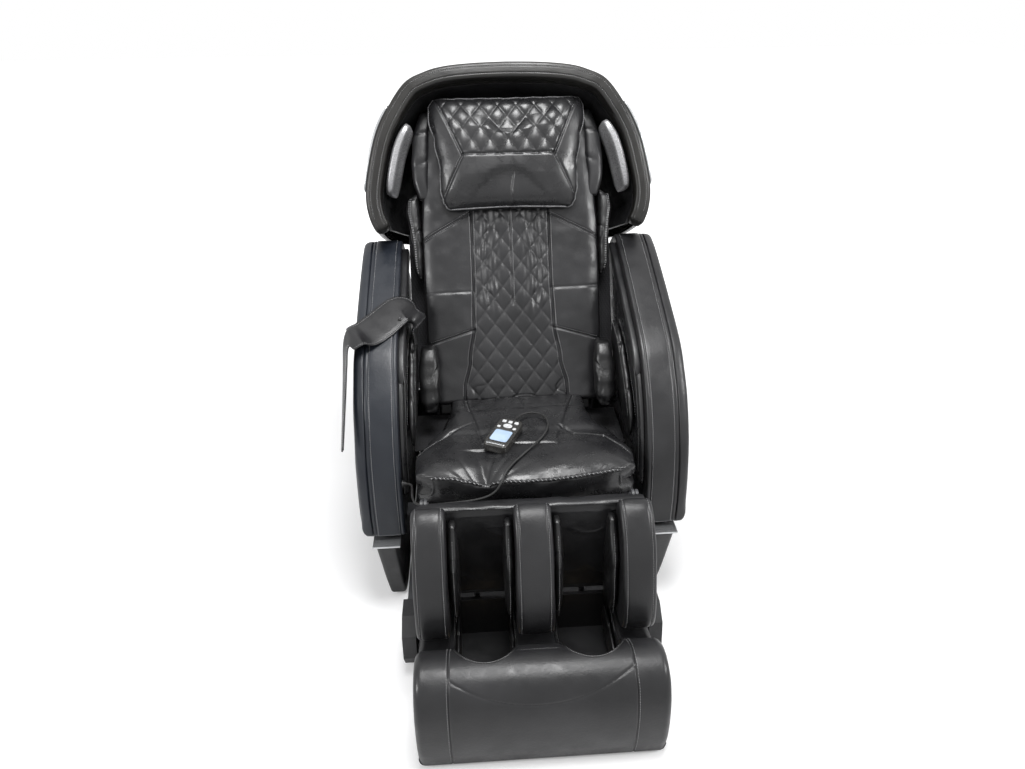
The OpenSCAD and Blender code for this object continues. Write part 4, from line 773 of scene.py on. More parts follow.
# %% Simulation
def finer(rows, m, n):
    """A grid of m by n values from a coarser one, straight between its points; columns wrap round."""
    rows = np.concatenate([rows, rows[:, :1]], 1)
    a, b = np.linspace(0, rows.shape[0] - 1, m), np.linspace(0, rows.shape[1] - 1, n, endpoint=False)
    i, j = np.minimum(a.astype(int), rows.shape[0] - 2), np.minimum(b.astype(int), rows.shape[1] - 2)
    u, v = (a - i)[:, None, None], (b - j)[None, :, None]
    low = rows[i][:, j] * (1 - v) + rows[i][:, j + 1] * v
    return low * (1 - u) + (rows[i + 1][:, j] * (1 - v) + rows[i + 1][:, j + 1] * v) * u


def inflate(rows, shape, cap, pressure=4.0, slack=0.0, still=None, frames=20, weight=0.3):
    """Movement in mm of a closed grid of rings under cloth pressure, on a grid of the given shape.
    slack is the share of cloth beyond the rest size; still marks points held where they are."""
    points, faces = faces_of(rows, wrap=True, caps=True)
    bag = new_object("blown", points, outward(points, faces))
    cloth = bag.modifiers.new("cloth", "CLOTH")
    settings = cloth.settings
    settings.quality, settings.mass = 6, weight
    settings.tension_stiffness = settings.compression_stiffness = 12
    settings.shear_stiffness, settings.bending_stiffness = 5, 0.6
    settings.use_pressure, settings.uniform_pressure_force = True, pressure
    settings.effector_weights.gravity = 0
    settings.shrink_min = -slack
    cloth.collision_settings.use_collision = False
    if still is not None:
        held = bag.vertex_groups.new(name="held")
        held.add(np.flatnonzero(np.r_[still.ravel(), False, False]).tolist(), 1.0, "REPLACE")
        settings.vertex_group_mass = "held"
    scene = bpy.context.scene
    cloth.point_cache.frame_start, cloth.point_cache.frame_end = 1, frames
    for frame_number in range(1, frames + 1):
        scene.frame_set(frame_number)
    seen_by = bag.evaluated_get(bpy.context.evaluated_depsgraph_get())
    moved = np.empty(len(points) * 3, np.float32)
    seen_by.data.vertices.foreach_get("co", moved)
    moved = (moved.reshape(-1, 3) / MM - points)[: rows.shape[0] * rows.shape[1]].reshape(rows.shape)
    scene.frame_set(1)
    bpy.data.objects.remove(bag)
    far = np.linalg.norm(moved, axis=-1, keepdims=True)
    print(f"blown by up to {far.max():.1f} mm, held to {cap}")
    return finer(moved * np.minimum(1, cap / np.maximum(far, 1e-6)), *shape)


def line_seam(x, y, ends, w):
    """A sewn valley along the straight line between two points: groove of the distance to it."""
    a, b = rot(ends[0]), rot(ends[1])
    t = np.clip(((x - a[0]) * (b[0] - a[0]) + (y - a[1]) * (b[1] - a[1])) / ((b - a) ** 2).sum(), 0, 1)
    return groove(np.hypot(x - a[0] - t * (b[0] - a[0]), y - a[1] - t * (b[1] - a[1])), w)


def quilt(x, y, wide, high):
    """Diamond pads, 0 on the stitched lines and 1 between: |sin(x/wide + y/high) sin(x/wide - y/high)|^0.45."""
    return np.abs(np.sin(np.pi * (x / wide + y / high)) * np.sin(np.pi * (x / wide - y / high))) ** 0.45


# %% [markdown]
# ## The seat
# The seat is a broad pad whose front edge is pulled back at the corners and bound with a whipped
# cord. Its ring runs round in the fore-and-aft plane: over the top, down the back, under, and up the
# front. Across the seat the ring is drawn in at both ends.

# %% Seat
SEAT_PLAN = [[-292, 208], [-280, 232], [-260, 244], [-178, 246.5], [-120, 222], [-60, 183], [0, 171.5], [56, 167.5]]
PANEL = [(-132, 50), (-93, -156), (75, -169), (144, 62)]
SIDE_ARCS = [(-244, -178), (-206, -134), (-166, -104)], [(119, -130), (186, -142), (238, -196)]
SEAT_LINES = [pair for line in (*SIDE_ARCS, PANEL) for pair in zip(line, line[1:])]


def seat_height(x, y):
    """Height of the seat: a crown of 14 dipped where one sits, 402 at the edge."""
    crown = 14 * np.maximum(0, 1 - (x / 246) ** 4) * np.sin(np.pi * np.clip((76 - y) / 374, 0, 1))
    d = lambda v, at, w, deep: deep * np.exp(-(((v - at) / w) ** 2))
    lobe = 7 * np.sin(np.pi * np.clip((y + 296) / 130, 0, 1)) * np.clip(1 - (x / 236) ** 6, 0, 1)
    return 402 + crown + lobe - d(x, -96, 34, 9) * np.where(y < -180, 1, 0.4) - d(y, -118, 16, 4)


def seat_seams(x, y):
    """Sewn lines: two arcs at the sides, the centre panel's border and its shallow quilting."""
    lines = [*SEAT_LINES, [(-166, -104), (-110, -66)], [(119, -130), (90, -96)]]
    deep = sum(2.6 * line_seam(x, y, e, 3.0) for e in lines)
    t = (y + 162) / 214
    inside = (t > 0) & (x > -93 - 39 * t) & (x < 75 + 69 * t)
    return deep - 0.9 * inside * quilt(x, y, 46, 60), inside


def seat_rows(nu, nt):
    """Rings in the fore-and-aft plane at nu stations across; nt points on top."""
    top_y = np.linspace(-290, 56, nt)
    y = np.r_[top_y, 58, 59, 58, 52, np.linspace(44, -252, nt // 4), -262, -270, -280, -288, -291.5, -293, -292.5, -291]
    z = np.r_[np.full(nt, 0.0), 388, 350, 322, 312, np.full(nt // 4, 311), 314, 322, 334, 348, 362, 376, 388, 396]
    turn = np.linspace(-np.pi / 2, np.pi / 2, nu)
    u = 0.55 * np.sin(turn) + 0.45 * np.linspace(-1, 1, nu)
    x = u[:, None] * glide(SEAT_PLAN, y)[None]
    pull = 45 * (x / 240) ** 2 * np.clip((-y - 150) / 140, 0, 1) ** 2
    top = np.arange(len(y)) < nt
    z = np.where(top[None], seat_height(x, y[None]), z[None])
    z = 357 + (z - 357) * np.clip(1 - np.abs(u) ** 12, 1e-4, 1)[:, None] ** 0.12
    return np.stack([x, y[None] + pull, z], -1), np.broadcast_to(top, z.shape)


seat, seat_top = seat_rows(170, 150)
small, small_top = seat_rows(44, 40)
still = small[..., 2] < 330
seat = seat + inflate(small, seat.shape[:2], 6.0, 3.0, 0.015, still) * [0.5, 0.5, 0.55]
x, y = seat[..., 0], seat[..., 1]
deep, inside = seat_seams(x, y)
pinch = 7 * np.exp(-(((x + 96 + 0.22 * (y + 240)) / 9) ** 2)) * np.clip((-y - 205) / 70, 0, 1)
spoke, reach = np.arctan2(x + 97, y + 300), np.hypot(x + 97, y + 300)
rays = sum(d * groove(spoke - a, 0.05) for a, d in ((-0.95, 3.0), (-0.55, 2.0), (0.28, 3.4), (0.62, 2.2), (1.05, 1.6)))
soft = 1.4 * noise(x, y, 64, 3) + rays * np.clip(1 - reach / 150, 0, 1) * np.clip(reach / 30, 0, 1)
seat[..., 2] -= seat_top * (deep + pinch + soft + 1.6)
front = ~seat_top & (y < -225)
seat += (front * 2.2 * noise(x, seat[..., 2] * 1.6, 24, 4))[..., None] * [0, 1, 0]
loft("seat_leather", seat, "base", SOFT_HIDE, ["seat_cushion"])

edge = seat[:, 1] + [0, -1.2, 1.0]
edge = even(edge[6:-6], 300)
loft("seat_piping", tube(edge, 3.8, 14, lambda l, w: 1 + 0.2 * np.cos(2 * w - l * 2 * np.pi / 12)), "base", HIDE)
for a, b in SEAT_LINES:
    line = np.linspace(a, b, 60)
    high = seat_height(line[:, 0], line[:, 1]) - 3.2
    sew("base", np.c_[line, high], [0, 0, 1], 5.4, 3.2, 0.35, 0.5)
whip = np.stack([np.interp(np.linspace(0, 1, 46), np.linspace(0, 1, 300), edge[:, k]) for k in range(3)], -1)
for at in whip[:45]:
    stitch = np.linspace(at + [-3.6, -1.6, 4.2], at + [3.6, -4.4, -1.4], 4)
    sew("base", stitch, [0, -0.7, 0.7], 8, 8.4, 0.6, 0.6)

# %% [markdown]
# The knee flap joins the seat to the calf unit across the joint between them. It is a thin sheet
# and rides on neither body.

# %% Knee flap and apron
KNEE = [[-294, 324], [-297, 344], [-304, 362], [-314, 377], [-326, 388], [-341, 394.5], [-352, 396], [-358, 393]]
knee = even(curve(KNEE, 10), 60)
knee_n = -normals(knee)
across = np.linspace(-1, 1, 120)
width = 214 + 22 * np.clip((np.arange(60) / 59 - 0.3) / 0.5, 0, 1) ** 2
sag = 1.4 * noise(across[None] * 230, np.arange(60)[:, None] * 2.2, 34, 9)


def knee_skin(lift):
    """One face of the flap, lifted off its middle line."""
    y, z = (knee[:, k : k + 1] + knee_n[:, k : k + 1] * (lift + sag) for k in (0, 1))
    return np.stack([width[:, None] * across[None], y, z], -1)


flap = loft("knee_flap", np.concatenate([knee_skin(1.2), knee_skin(-0.9)[:, ::-1]], 1), None, HIDE, ["knee_apron"])
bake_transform(flap)
knee_long = np.linalg.norm(np.diff(knee, axis=0), axis=1).sum()
print("knee flap", round(knee_long), "mm long")

# %% [markdown]
# ## The back pad
# The back is one long pad: plain leather at the sides, and between two piped seams a quilted strip
# that is gathered lengthwise over the massage rollers. Its front is a height over the width and the
# length, so that every seam, fold and diamond is one more term.

# %% Back pad
BACK_SEAMS = [[(-219, 401), (-100, 467)], [(100, 461), (219, 399)],
              [(-214, 137), (-100, 171)], [(97, 173), (214, 139)]]
FOLDS = ((60, 10, 5.0), (84, 7, 2.0), (33, 7, 1.8))
PAD_HALF = [[-18, 212], [40, 217], [424, 222], [520, 214], [620, 203], [700, 197]]
PAD_LOW, PAD_HIGH, PAD_REAR = -18, 700, 53.8


def panel_half(s):
    return glide([[-18, 132], [24, 130], [92, 115], [180, 102], [300, 98], [700, 98]], s)


def back_height(x, s):
    """Depth of the pad's front: crowned sides, a sewn seam each side of the quilted strip, four
    lengthwise gathers that fade out at the waist, a centre seam above it, and diamonds."""
    p = panel_half(s)
    inside = np.clip((p - np.abs(x)) / 5, 0, 1)
    edge_fall = 9 * np.clip((np.abs(x) - look(PAD_HALF, s) + 34) / 34, 0, 1) ** 2.2
    side = (1 - inside) * (-3.5 * np.clip((np.abs(x) - p) / 26, 0, 1) ** 0.6 + edge_fall)
    side = side + (1 - inside) * (1.5 * noise(x * 0.35, s, 38, 1) + 0.8 * noise(x, s, 22, 2))
    seams = sum(4.5 * line_seam(x, s, e, 3.4) for e in BACK_SEAMS)
    seams = seams + (1 - inside) * (1.7 * groove(s - 270 - 0.02 * x, 3.5) + 1.2 * np.tanh((s - 270) / 6))
    upper = np.clip((s - 190) / 70, 0, 1)
    wander = 4 * np.sin(s / 41.0) + 3 * noise(s, 0 * s, 60, 4)
    folds = sum(d * groove(np.abs(x) - at - wander, w) for at, w, d in FOLDS)
    ridges = -2.4 * groove(np.abs(x) - 72 - wander, 8) - 1.4 * groove(np.abs(x) - 44 - wander, 9)
    centre = 3.6 * groove(x, 2.6) * np.clip((s - 228) / 12, 0, 1)
    bunch = 0.35 * crease(x, s * 0.08, 15, 7) * upper
    pads = -4.2 * quilt(x, s, 48, 62) + 2.6
    waist = 2.0 * crease(x * 0.5, s, 30, 8) * np.clip((80 - s) / 60, 0, 1)
    strip = upper * (folds + ridges) + centre + bunch + pads + waist
    return side + seams + 5.0 * groove(np.abs(x) - p, 3.0) + inside * strip


s = np.linspace(PAD_LOW, PAD_HIGH, 350)
u = np.linspace(-1, 1, 236)
u = 0.86 * u + 0.14 * u**3
hw = look(PAD_HALF, s)
x = hw[:, None] * u[None]
ends = np.clip(np.minimum(s - PAD_LOW, PAD_HIGH - s) / 14, 0, 1)[:, None]
t = back_height(x, s[:, None] + 0 * x) + 14 * (1 - np.sqrt(1 - (1 - ends) ** 2)) + 0.3
corner = np.linspace(0, np.pi / 2, 7)
grow = np.r_[4 * np.sin(corner) ** 0.8, 4.0, 2.0]
drop = np.r_[1 + 9 * np.sin(corner), 30, 46]


def pad_row(x, t):
    """Points of every row of the pad at x and depth t, both given for each row."""
    shape = np.broadcast_shapes(x.shape, t.shape)
    return np.stack([np.broadcast_to(a, shape) for a in (x, t, s[:, None])], -1)


front = pad_row(x, t)
right = pad_row(hw[:, None] + grow, t[:, -1:] + drop)
left = pad_row(-hw[:, None] - grow, t[:, :1] + drop)[:, ::-1]
rear = pad_row(hw[:, None] * np.linspace(0.96, -0.96, 20), rot([[PAD_REAR]]))
pad = np.concatenate([front, right, rear, left], 1)
loft("back_pad_leather", on_back(pad), "back", HIDE, ["back_pad"])


def on_pad(line, lift=0.4):
    """Points on the pad's front along (x, s), lifted off it."""
    line = rot(line)
    return on_back(np.stack([line[:, 0], back_height(line[:, 0], line[:, 1]) - lift, line[:, 1]], -1))


FRONT = on_back([0, -1, 0]) - on_back([0, 0, 0])
run_s = np.linspace(2, 470, 200)
for flip in (-1, 1):
    lofts(f"back_piping_{'left' if flip < 0 else 'right'}",
          [tube(on_pad(np.c_[flip * panel_half(run_s), run_s], -0.6), 1.9, 10)], "back", HIDE)
    for gap in (-5.5, 5.5):
        sew("back", on_pad(np.c_[flip * (panel_half(run_s) + gap), run_s]), FRONT, width=0.36)
for e in BACK_SEAMS:
    for gap in (-4, 4):
        sew("back", on_pad(np.linspace(e[0], e[1], 50) + [0, gap]), FRONT, width=0.36)
sew("back", on_pad(np.c_[np.full(80, 4.2), np.linspace(238, 466, 80)]), FRONT, width=0.36)

# %% [markdown]
# ## The head pillow
# The pillow hangs from the top of the back. Its upper panel is quilted in diamonds, its lower panel
# is smooth and a little creased, and a light piping runs round it where front and back are joined.

# %% Head pillow
PILLOW = [[468, 0.74], [478, 0.81], [492, 0.85], [520, 0.885], [560, 0.90],
          [640, 0.955], [690, 1.0], [720, 0.99], [744, 0.93]]
DIAMOND = [(-176, 740), (-113, 596), (113, 596), (176, 740)]
LOWER = [(-113, 592), (-167, 490)], [(113, 592), (167, 490)]


def pillow_half(s):
    return 193.5 * glide(PILLOW, s)


def pillow_bulge(u, s):
    """Front of the pillow: a crown (1 - |u|^5)(1 - |v|^6) over the width and the height."""
    v = (s - 606) / 138
    return np.clip(1 - np.abs(u) ** 5, 0, 1) ** 0.6 * np.clip(1 - np.abs(v) ** 6, 0, 1) ** 0.6


def pillow_seams(x, s):
    deep = sum(4.2 * line_seam(x, s, e, 3.2) for e in (*zip(DIAMOND, DIAMOND[1:]), *LOWER))
    t = (s - 594) / 144
    inside = (t > 0) & (np.abs(x) < 113 + 63 * t) & (t < 1.02)
    low = (s < 590) & (np.abs(x) < 120 + (590 - s) * 0.5)
    worn = 0.9 * noise(x, s * 0.25, 9, 5) + 2.6 * groove(x - 8 - 3 * np.sin(s / 17), 2.4)
    worn = worn * groove(x - 6, 34) * np.clip((592 - s) / 50, 0, 1)
    return deep + inside * (2.4 - 5.0 * quilt(x, s + 8, 45, 58)) + low * worn


def pillow_rows(ns, nu):
    s = 606 + 68 * np.sin(np.linspace(-np.pi / 2, np.pi / 2, ns)) + 68 * np.linspace(-1, 1, ns)
    u = np.linspace(-1, 1, nu)
    u = 0.75 * u + 0.25 * np.sin(u * np.pi / 2)
    half = pillow_half(s)[:, None]
    bulge, high = pillow_bulge(u[None], s[:, None]), s[:, None] + 0 * half * u
    front = np.stack([half * u, -18 - 40 * bulge, high], -1)
    rear = np.stack([half * u, -16 + 15 * bulge, high], -1)[:, -2:0:-1]
    return np.concatenate([front, rear], 1)


pillow = pillow_rows(200, 230)
small = pillow_rows(40, 40)
blown = inflate(on_back(small), pillow.shape[:2], 6.0, 3.0, 0.02, small[..., 1] > -17)
c, k = math.cos(LEAN), math.sin(LEAN)
pillow = pillow + blown @ np.array([[1, 0, 0], [0, c, k], [0, -k, c]])
face = np.arange(pillow.shape[1]) < 230
x, s = pillow[..., 0], pillow[..., 2]
rim = np.clip(1 - np.abs(x) / pillow_half(s), 0, 0.06) / 0.06
pillow[..., 1] += face * rim * (pillow_seams(x, s) + 0.8 * noise(x, s, 40, 6))
pillow[..., 1] = np.clip(pillow[..., 1], -70, -0.4)
cushion = loft("head_pillow_leather", on_back(pillow), "pillow", SOFT_HIDE, ["head_pillow"])
edge = np.concatenate([pillow[3:-3, 0], pillow[-4, 0:230:8][1:-1],
                       pillow[3:-3, 229][::-1], pillow[3, 0:230:8][::-1][1:-1]])
edge = even(np.vstack([edge, edge[:1]]), 420)
lofts("head_pillow_piping", [tube(on_back(edge), 2.0, 10)], "pillow", PIPING)
sew("pillow", on_back(edge + [0, -2.2, 0]), FRONT, 5.0, 3.4, 0.4)


def on_pillow(line, lift=0.4):
    """Points on the pillow's front along (x, s): the nearest point of its grid, lifted off it."""
    line, grid = rot(line), pillow[:, face]
    row = np.searchsorted(grid[:, 115, 2], line[:, 1]).clip(0, len(grid) - 1)
    col = np.abs(grid[row][..., 0] - line[:, :1]).argmin(1)
    return on_back(np.stack([line[:, 0], grid[row, col, 1] - lift, line[:, 1]], -1))


for a, b in (*zip(DIAMOND, DIAMOND[1:]), *LOWER):
    for gap in (0, 5.0):
        away = rot([b[1] - a[1], a[0] - b[0]]) / math.dist(a, b) * gap
        sew("pillow", on_pillow(np.linspace(a, b, 60) + away), FRONT, 4.8, 3.2, 0.34)

# %% [markdown]
# ## The hood
# The hood is a moulded shell, open at the front, with a wide leather band round its mouth and a
# padded lining inside. All three follow one arch, given as half an outline and mirrored. A shell is
# an outer and an inner surface joined along their edges.


# %% Shells
def shell(name, outer, inner, body, material, nodes=()):
    """A wall between two grids of the same shape, closed along all four edges."""
    m, n = outer.shape[:2]
    k = np.arange(m * n).reshape(m, n)
    quad = lambda a: np.stack([a[:-1, :-1], a[:-1, 1:], a[1:, 1:], a[1:, :-1]], -1).reshape(-1, 4)
    rim = np.r_[k[0], k[1:, -1], k[-1, -2::-1], k[-2::-1, 0]]
    strip = np.stack([rim[:-1], rim[:-1] + m * n, rim[1:] + m * n, rim[1:]], -1)
    points = np.vstack([outer.reshape(-1, 3), inner.reshape(-1, 3)])
    faces = outward(points, [quad(k), quad(k)[:, ::-1] + m * n, strip])
    thing = new_object(name, points, faces)
    made = bmesh.new()
    made.from_mesh(thing.data)
    bmesh.ops.remove_doubles(made, verts=made.verts, dist=2e-6)
    bmesh.ops.recalc_face_normals(made, faces=made.faces)
    made.to_mesh(thing.data)
    made.free()
    thing.data.set_sharp_from_angle(angle=math.radians(50))
    return finish_piece(thing, body, material, nodes)


# %% Arch of the hood
HOOD_HALF = [[333, 415], [350, 455], [356, 505], [347, 566], [324, 648], [290, 712],
             [246, 768], [196, 792], [150, 803], [80, 809], [0, 811]]
HOOD_LOW, HOOD_DEEP, LINING_DEEP = 432, 284, 150
LINING_INSET, NARROWING = 27.4, [[0, 0.99], [0.3, 0.95], [0.7, 0.88], [1, 0.8]]
arch = curve(HOOD_HALF, 14)
arch = even(np.vstack([arch * [-1, 1], arch[::-1][1:] * [1, 1]]), 280)
arch_out = normals(arch)
arch_run = np.r_[0, np.cumsum(np.linalg.norm(np.diff(arch, axis=0), axis=1))]
mouth = -19 - (arch[:, 1] - 415) * 0.149


def hood_point(inset, f, t):
    """Arch points drawn in by inset, shrunk by f towards the middle of the hood's foot, at depth t."""
    p = arch[:, None] - arch_out[:, None] * np.broadcast_to(inset, t.shape)[..., None]
    return np.stack([p[..., 0] * f, t, HOOD_LOW + (np.maximum(p[..., 1], HOOD_LOW) - HOOD_LOW) * f], -1)


steps = curve([[0.99, 0], [1, 0.12], [1, 0.35], [0.985, 0.6], [0.94, 0.8], [0.84, 0.93], [0.6, 1], [0.06, 1]], 8)
steps[:, 1] = np.clip(steps[:, 1], 0, 1)
start = (mouth + 42.3)[:, None]
walls = [hood_point(w + 1, steps[None, :, 0], start + (HOOD_DEEP - w - start) * steps[None, :, 1])
         for w in (0, 5)]
shell("hood_shell_cover", on_back(walls[0]), on_back(walls[1]), "back", SHELL, ["hood_shell"])

bend = np.linspace(0, np.pi / 2, 8)
d = np.linspace(9, 32, 26)
profile_d = np.r_[0, 0, 0, 9 - 9 * np.cos(bend), d[1:-1], 32 + 6 * np.sin(bend), 38, 38]
face_t = -1.6 * (1 - ((d - 20.5) / 11.5) ** 4) + 1.5 * groove(d - 12, 1.2) + 1.5 * groove(d - 29, 1.2)
profile_t = np.r_[41.8, 30, 16, 9 - 9 * np.sin(bend), face_t[1:-1], 6 - 6 * np.cos(bend), 20, 41.8]
tip = np.minimum(arch_run, arch_run[-1] - arch_run)
tip = np.sqrt(1 - (1 - np.clip(tip / 16, 0.02, 1)) ** 2)[:, None]
band_d = 19 + (profile_d - 19)[None] * tip
band_t = mouth[:, None] + 21 + (profile_t - 21)[None] * tip
band_t += 0.5 * noise(arch_run[:, None], profile_d[None], 40, 12)
p = arch[:, None] - arch_out[:, None] * band_d[..., None]
band = np.stack([p[..., 0], band_t, np.maximum(p[..., 1], 412)], -1)
# The band's hide carries a faint painted warm reflection.
loft("hood_band_leather", on_back(band), "back", WARM_REFLECTION_PAINTED_HIDE, ["hood_band"])
for inset in (12, 29):
    p = arch - arch_out * inset
    line = np.stack([p[:, 0], mouth - 0.2, np.maximum(p[:, 1], 412)], -1)[8:-8]
    sew("back", on_back(line), FRONT, 5.2, 3.4, 0.36)

# %% Lining, pods and strips
v = np.linspace(0, 1, 26)[None]
deep = (mouth + 42)[:, None]


def lining_at(w, v):
    """Tunnel behind the band: w further in than the lining's inset, narrowing towards the rear."""
    return hood_point(LINING_INSET + w, look(NARROWING, v), deep + (LINING_DEEP - deep) * v)


puff = 3.0 * np.abs(np.sin(np.pi * arch_run[:, None] / 150)) ** 0.5 * np.sin(np.pi * v) ** 0.5
puff = puff - 1.5 * crease(arch_run[:, None] * 0.4, v * 120, 26, 13)
shell("hood_lining_leather", on_back(lining_at(0, v)), on_back(lining_at(8.5 + puff, v)), "back", THIN_HIDE,
      ["hood_lining"])


def along_arch(rows, low, high, at, half_a, half_b, e, power, n=36):
    """A capsule along the right-hand side of the arch from low to high, as rings at its points."""
    pick = np.flatnonzero((arch[:, 0] > 0) & (arch[:, 1] > low) & (arch[:, 1] < high))
    q = ring(1, 1, e, n)
    v = np.linspace(-1, 1, len(pick))
    size = np.clip(1 - np.abs(v) ** power, 0.0004, 1) ** (1 / power)
    out = []
    for k, i in enumerate(pick):
        out.append(rows(i, q[:, 0] * half_a * size[k], q[:, 1] * half_b * size[k] + at))
    return np.array(out)


def pod_row(i, a, b):
    """Ring of a speaker pod at arch point i: on the lining, 13 from it to its middle."""
    t = mouth[i] + 52 + b
    f = look(NARROWING, (t - mouth[i] - 42) / (LINING_DEEP - 42 - mouth[i]))
    p = arch[i] - arch_out[i] * (LINING_INSET + 12.3 + 13 + a)[:, None]
    return np.stack([p[:, 0] * f, t, HOOD_LOW + (p[:, 1] - HOOD_LOW) * f], -1)


pod = along_arch(pod_row, 520, 716, 0, 12.5, 35.5, 3.2, 3.6)
lofts("speaker_pod_caps", [on_back(pod), on_back(mirror(pod))], "back", POD, ["speaker_pods"])


def trim_row(i, a, b):
    p = arch[i] + arch_out[i] * (2.4 + a)[:, None]
    return np.stack([p[:, 0], mouth[i] + 17 + b, p[:, 1]], -1)


strip = along_arch(trim_row, 520, 720, 0, 4.2, 15, 3, 5, 28)
lofts("hood_side_strips", [on_back(strip), on_back(mirror(strip))], "back", SILVER, ["hood_trims"])

# %% [markdown]
# Beside the head two soft bolsters close the gap between the pad and the lining, and below them the
# shoulder airbags stand forward in gathered folds.

# %% Bolsters and shoulder bags
v = np.linspace(0, 1, 120)
s = 505 + 215 * v
centre = np.stack([glide([[505, 214], [560, 222], [640, 218], [720, 204]], s), 17 + 6 * v, s], -1)
bolster = bag(centre, [1, 0, 0], [0, 1, 0], 24, 24 + 0 * v, 34, 0.10, 3, 40, 15)
lofts("head_bolsters", [on_back(bolster), on_back(mirror(bolster))], "back", HIDE, ())
SHOULDER = rot([[306, 8, 20], [330, 12, 34], [400, 14, 36], [440, 18, 36],
                [470, 22, 36], [500, 20, 34], [518, 10, 20]])
s = 306 + 212 * v
half, tall = look(SHOULDER[:, [0, 1]], s), look(SHOULDER[:, [0, 2]], s)
centre = np.stack([223.5 + half, np.full(120, 26.0), s], -1)
shoulder = bag(centre, [1, 0, 0], [0, 1, 0], half, tall, 19, 0.15, 3, 48, 21)
lofts("shoulder_airbag_skins", [on_back(shoulder), on_back(mirror(shoulder))], "back", THIN_HIDE,
      ["shoulder_airbags"])
for flip in (-1, 1):
    for lift in (0.5, 0.95):
        edge = centre * [flip, 1, 1] + np.c_[flip * half * lift * 0.4, -tall * 0.98, 0 * s]
        sew("back", on_back(edge[6:-6]), FRONT, 6, 3.6, 0.5)

# %% [markdown]
# ### Gussets
# Dark cloth closes the gaps beside the back, beside the seat and behind it. Each is a thin shell.


# %% Gussets
def gusset(name, rows, body, thick):
    """A thin sheet between a grid and the same grid moved by thick."""
    rows = rot(rows)
    made = shell(name, rows, rows + rot(thick), body, LINING)
    wide = np.linalg.norm(np.diff(rows, axis=1), axis=2).sum(1)
    tall = np.linalg.norm(np.diff(rows[:, rows.shape[1] // 2], axis=0), axis=1).sum()


v, u = np.linspace(0, 1, 60)[:, None], np.linspace(0, 1, 24)[None]
for name, flip in (("left", -1), ("right", 1)):
    s = 40 + 385 * v
    fold = 2.0 * noise(u * 40 + 0 * v, s + 0 * u, 26, 50 + flip)
    rows = np.stack([flip * (219 + 42 * u) + 0 * v, 57.5 + fold * np.sin(np.pi * u) + 0 * v, s + 0 * u], -1)
    gusset(f"back_gusset_{name}", on_back(rows), "back", FRONT * 1.2)
    y = -60 + 158 * v
    sag = 3 * noise(u * 40 + 0 * v, y + 0 * u, 30, 54 + flip)
    x = flip * (glide(SEAT_PLAN, y) - 3 + (262 - glide(SEAT_PLAN, y)) * u)
    rows = np.stack([x, y + 0 * u, 332 + sag * np.sin(np.pi * u)], -1)
    gusset(f"seat_gusset_{name}", rows, "base", (0, 0, -1.2))
    z = 290 - 140 * v
    inner = look([[150, 228], [247, 228], [253, 252.5], [290, 252.5]], z)
    rows = np.stack([flip * (inner + (288 - inner) * u), 300 + 0 * (u + v), z + 0 * u], -1)
    gusset(f"rear_gusset_{name}", rows, "base", (0, 1.2, 0))

# %% Rear shell
TRAY_HALF, TRAY_FRONT, TRAY_DEPTH = 250, 64, [[20, 150], [70, 176], [150, 200], [424, 200]]
a = np.linspace(0, np.pi, 90)[None]
s = np.linspace(20, 424, 60)[:, None]


def tray(w):
    """The rear shell w inside its face: half a rounded box of exponent 5, deeper upwards."""
    side = np.sign(np.cos(a)) * np.abs(np.cos(a)) ** 0.4
    deep = (glide(TRAY_DEPTH, s) - TRAY_FRONT - w) * np.sin(a) ** 0.4
    return on_back(np.stack([-(TRAY_HALF - w) * side + 0 * s, TRAY_FRONT + deep, s + 0 * a], -1))


shell("rear_shell_cover", tray(0), tray(5), "back", SHELL, ["rear_shell"])

# %% [markdown]
# ## The calf unit
# Three upholstered columns stand in front of a padded wall, with gathered airbags on both sides of
# each channel. A column is one outline carried across the chair: its rim is rounded over at both
# sides, and each side face is closed by rings of the same outline drawn in to a point.


# %% Upholstered blocks
def block(outline, heart, x0, x1, radius, puff=1.5, seam=(8.0,), n=40, side=4.0, floor_y=None):
    """A padded block: sides bulged by side, rim rounded by radius, and a front crowned by puff with
    sewn grooves at the given distances from each edge."""
    out = normals(outline)
    heart = rot(heart)
    if np.sum((outline - heart) * out) < 0:
        out = -out
    bend = np.linspace(0, np.pi / 2, 8)
    x = np.linspace(x0 + radius, x1 - radius, n)
    v = (x - (x0 + x1) / 2) / ((x1 - x0) / 2 - radius)
    depth = -puff * (1 - v**4) + sum(1.7 * groove(x - x0 - s, 1.7) + 1.7 * groove(x1 - x - s, 1.7) for s in seam)
    xs = np.r_[x0 + radius - radius * np.cos(bend), x[1:-1], x1 - radius + radius * np.sin(bend)]
    ds = np.r_[radius - radius * np.sin(bend), depth[1:-1], radius - radius * np.cos(bend)]
    rows = [np.c_[np.full(len(outline), xx), outline - out * dd] for xx, dd in zip(xs, ds)]
    f = rot([0.03, 0.25, 0.5, 0.7, 0.85, 0.93, 0.975])
    low, high = rows[0][:, 1:], rows[-1][:, 1:]
    bulge = side * (1 - f**3)
    left = [np.c_[np.full(len(outline), x0 - b), heart + (low - heart) * k] for k, b in zip(f, bulge)]
    right = [np.c_[np.full(len(outline), x1 + b), heart + (high - heart) * k] for k, b in zip(f, bulge)][::-1]
    grid = np.array(left + rows + right)
    if floor_y is not None:
        grid[..., 1] = np.minimum(grid[..., 1], floor_y)
    return grid


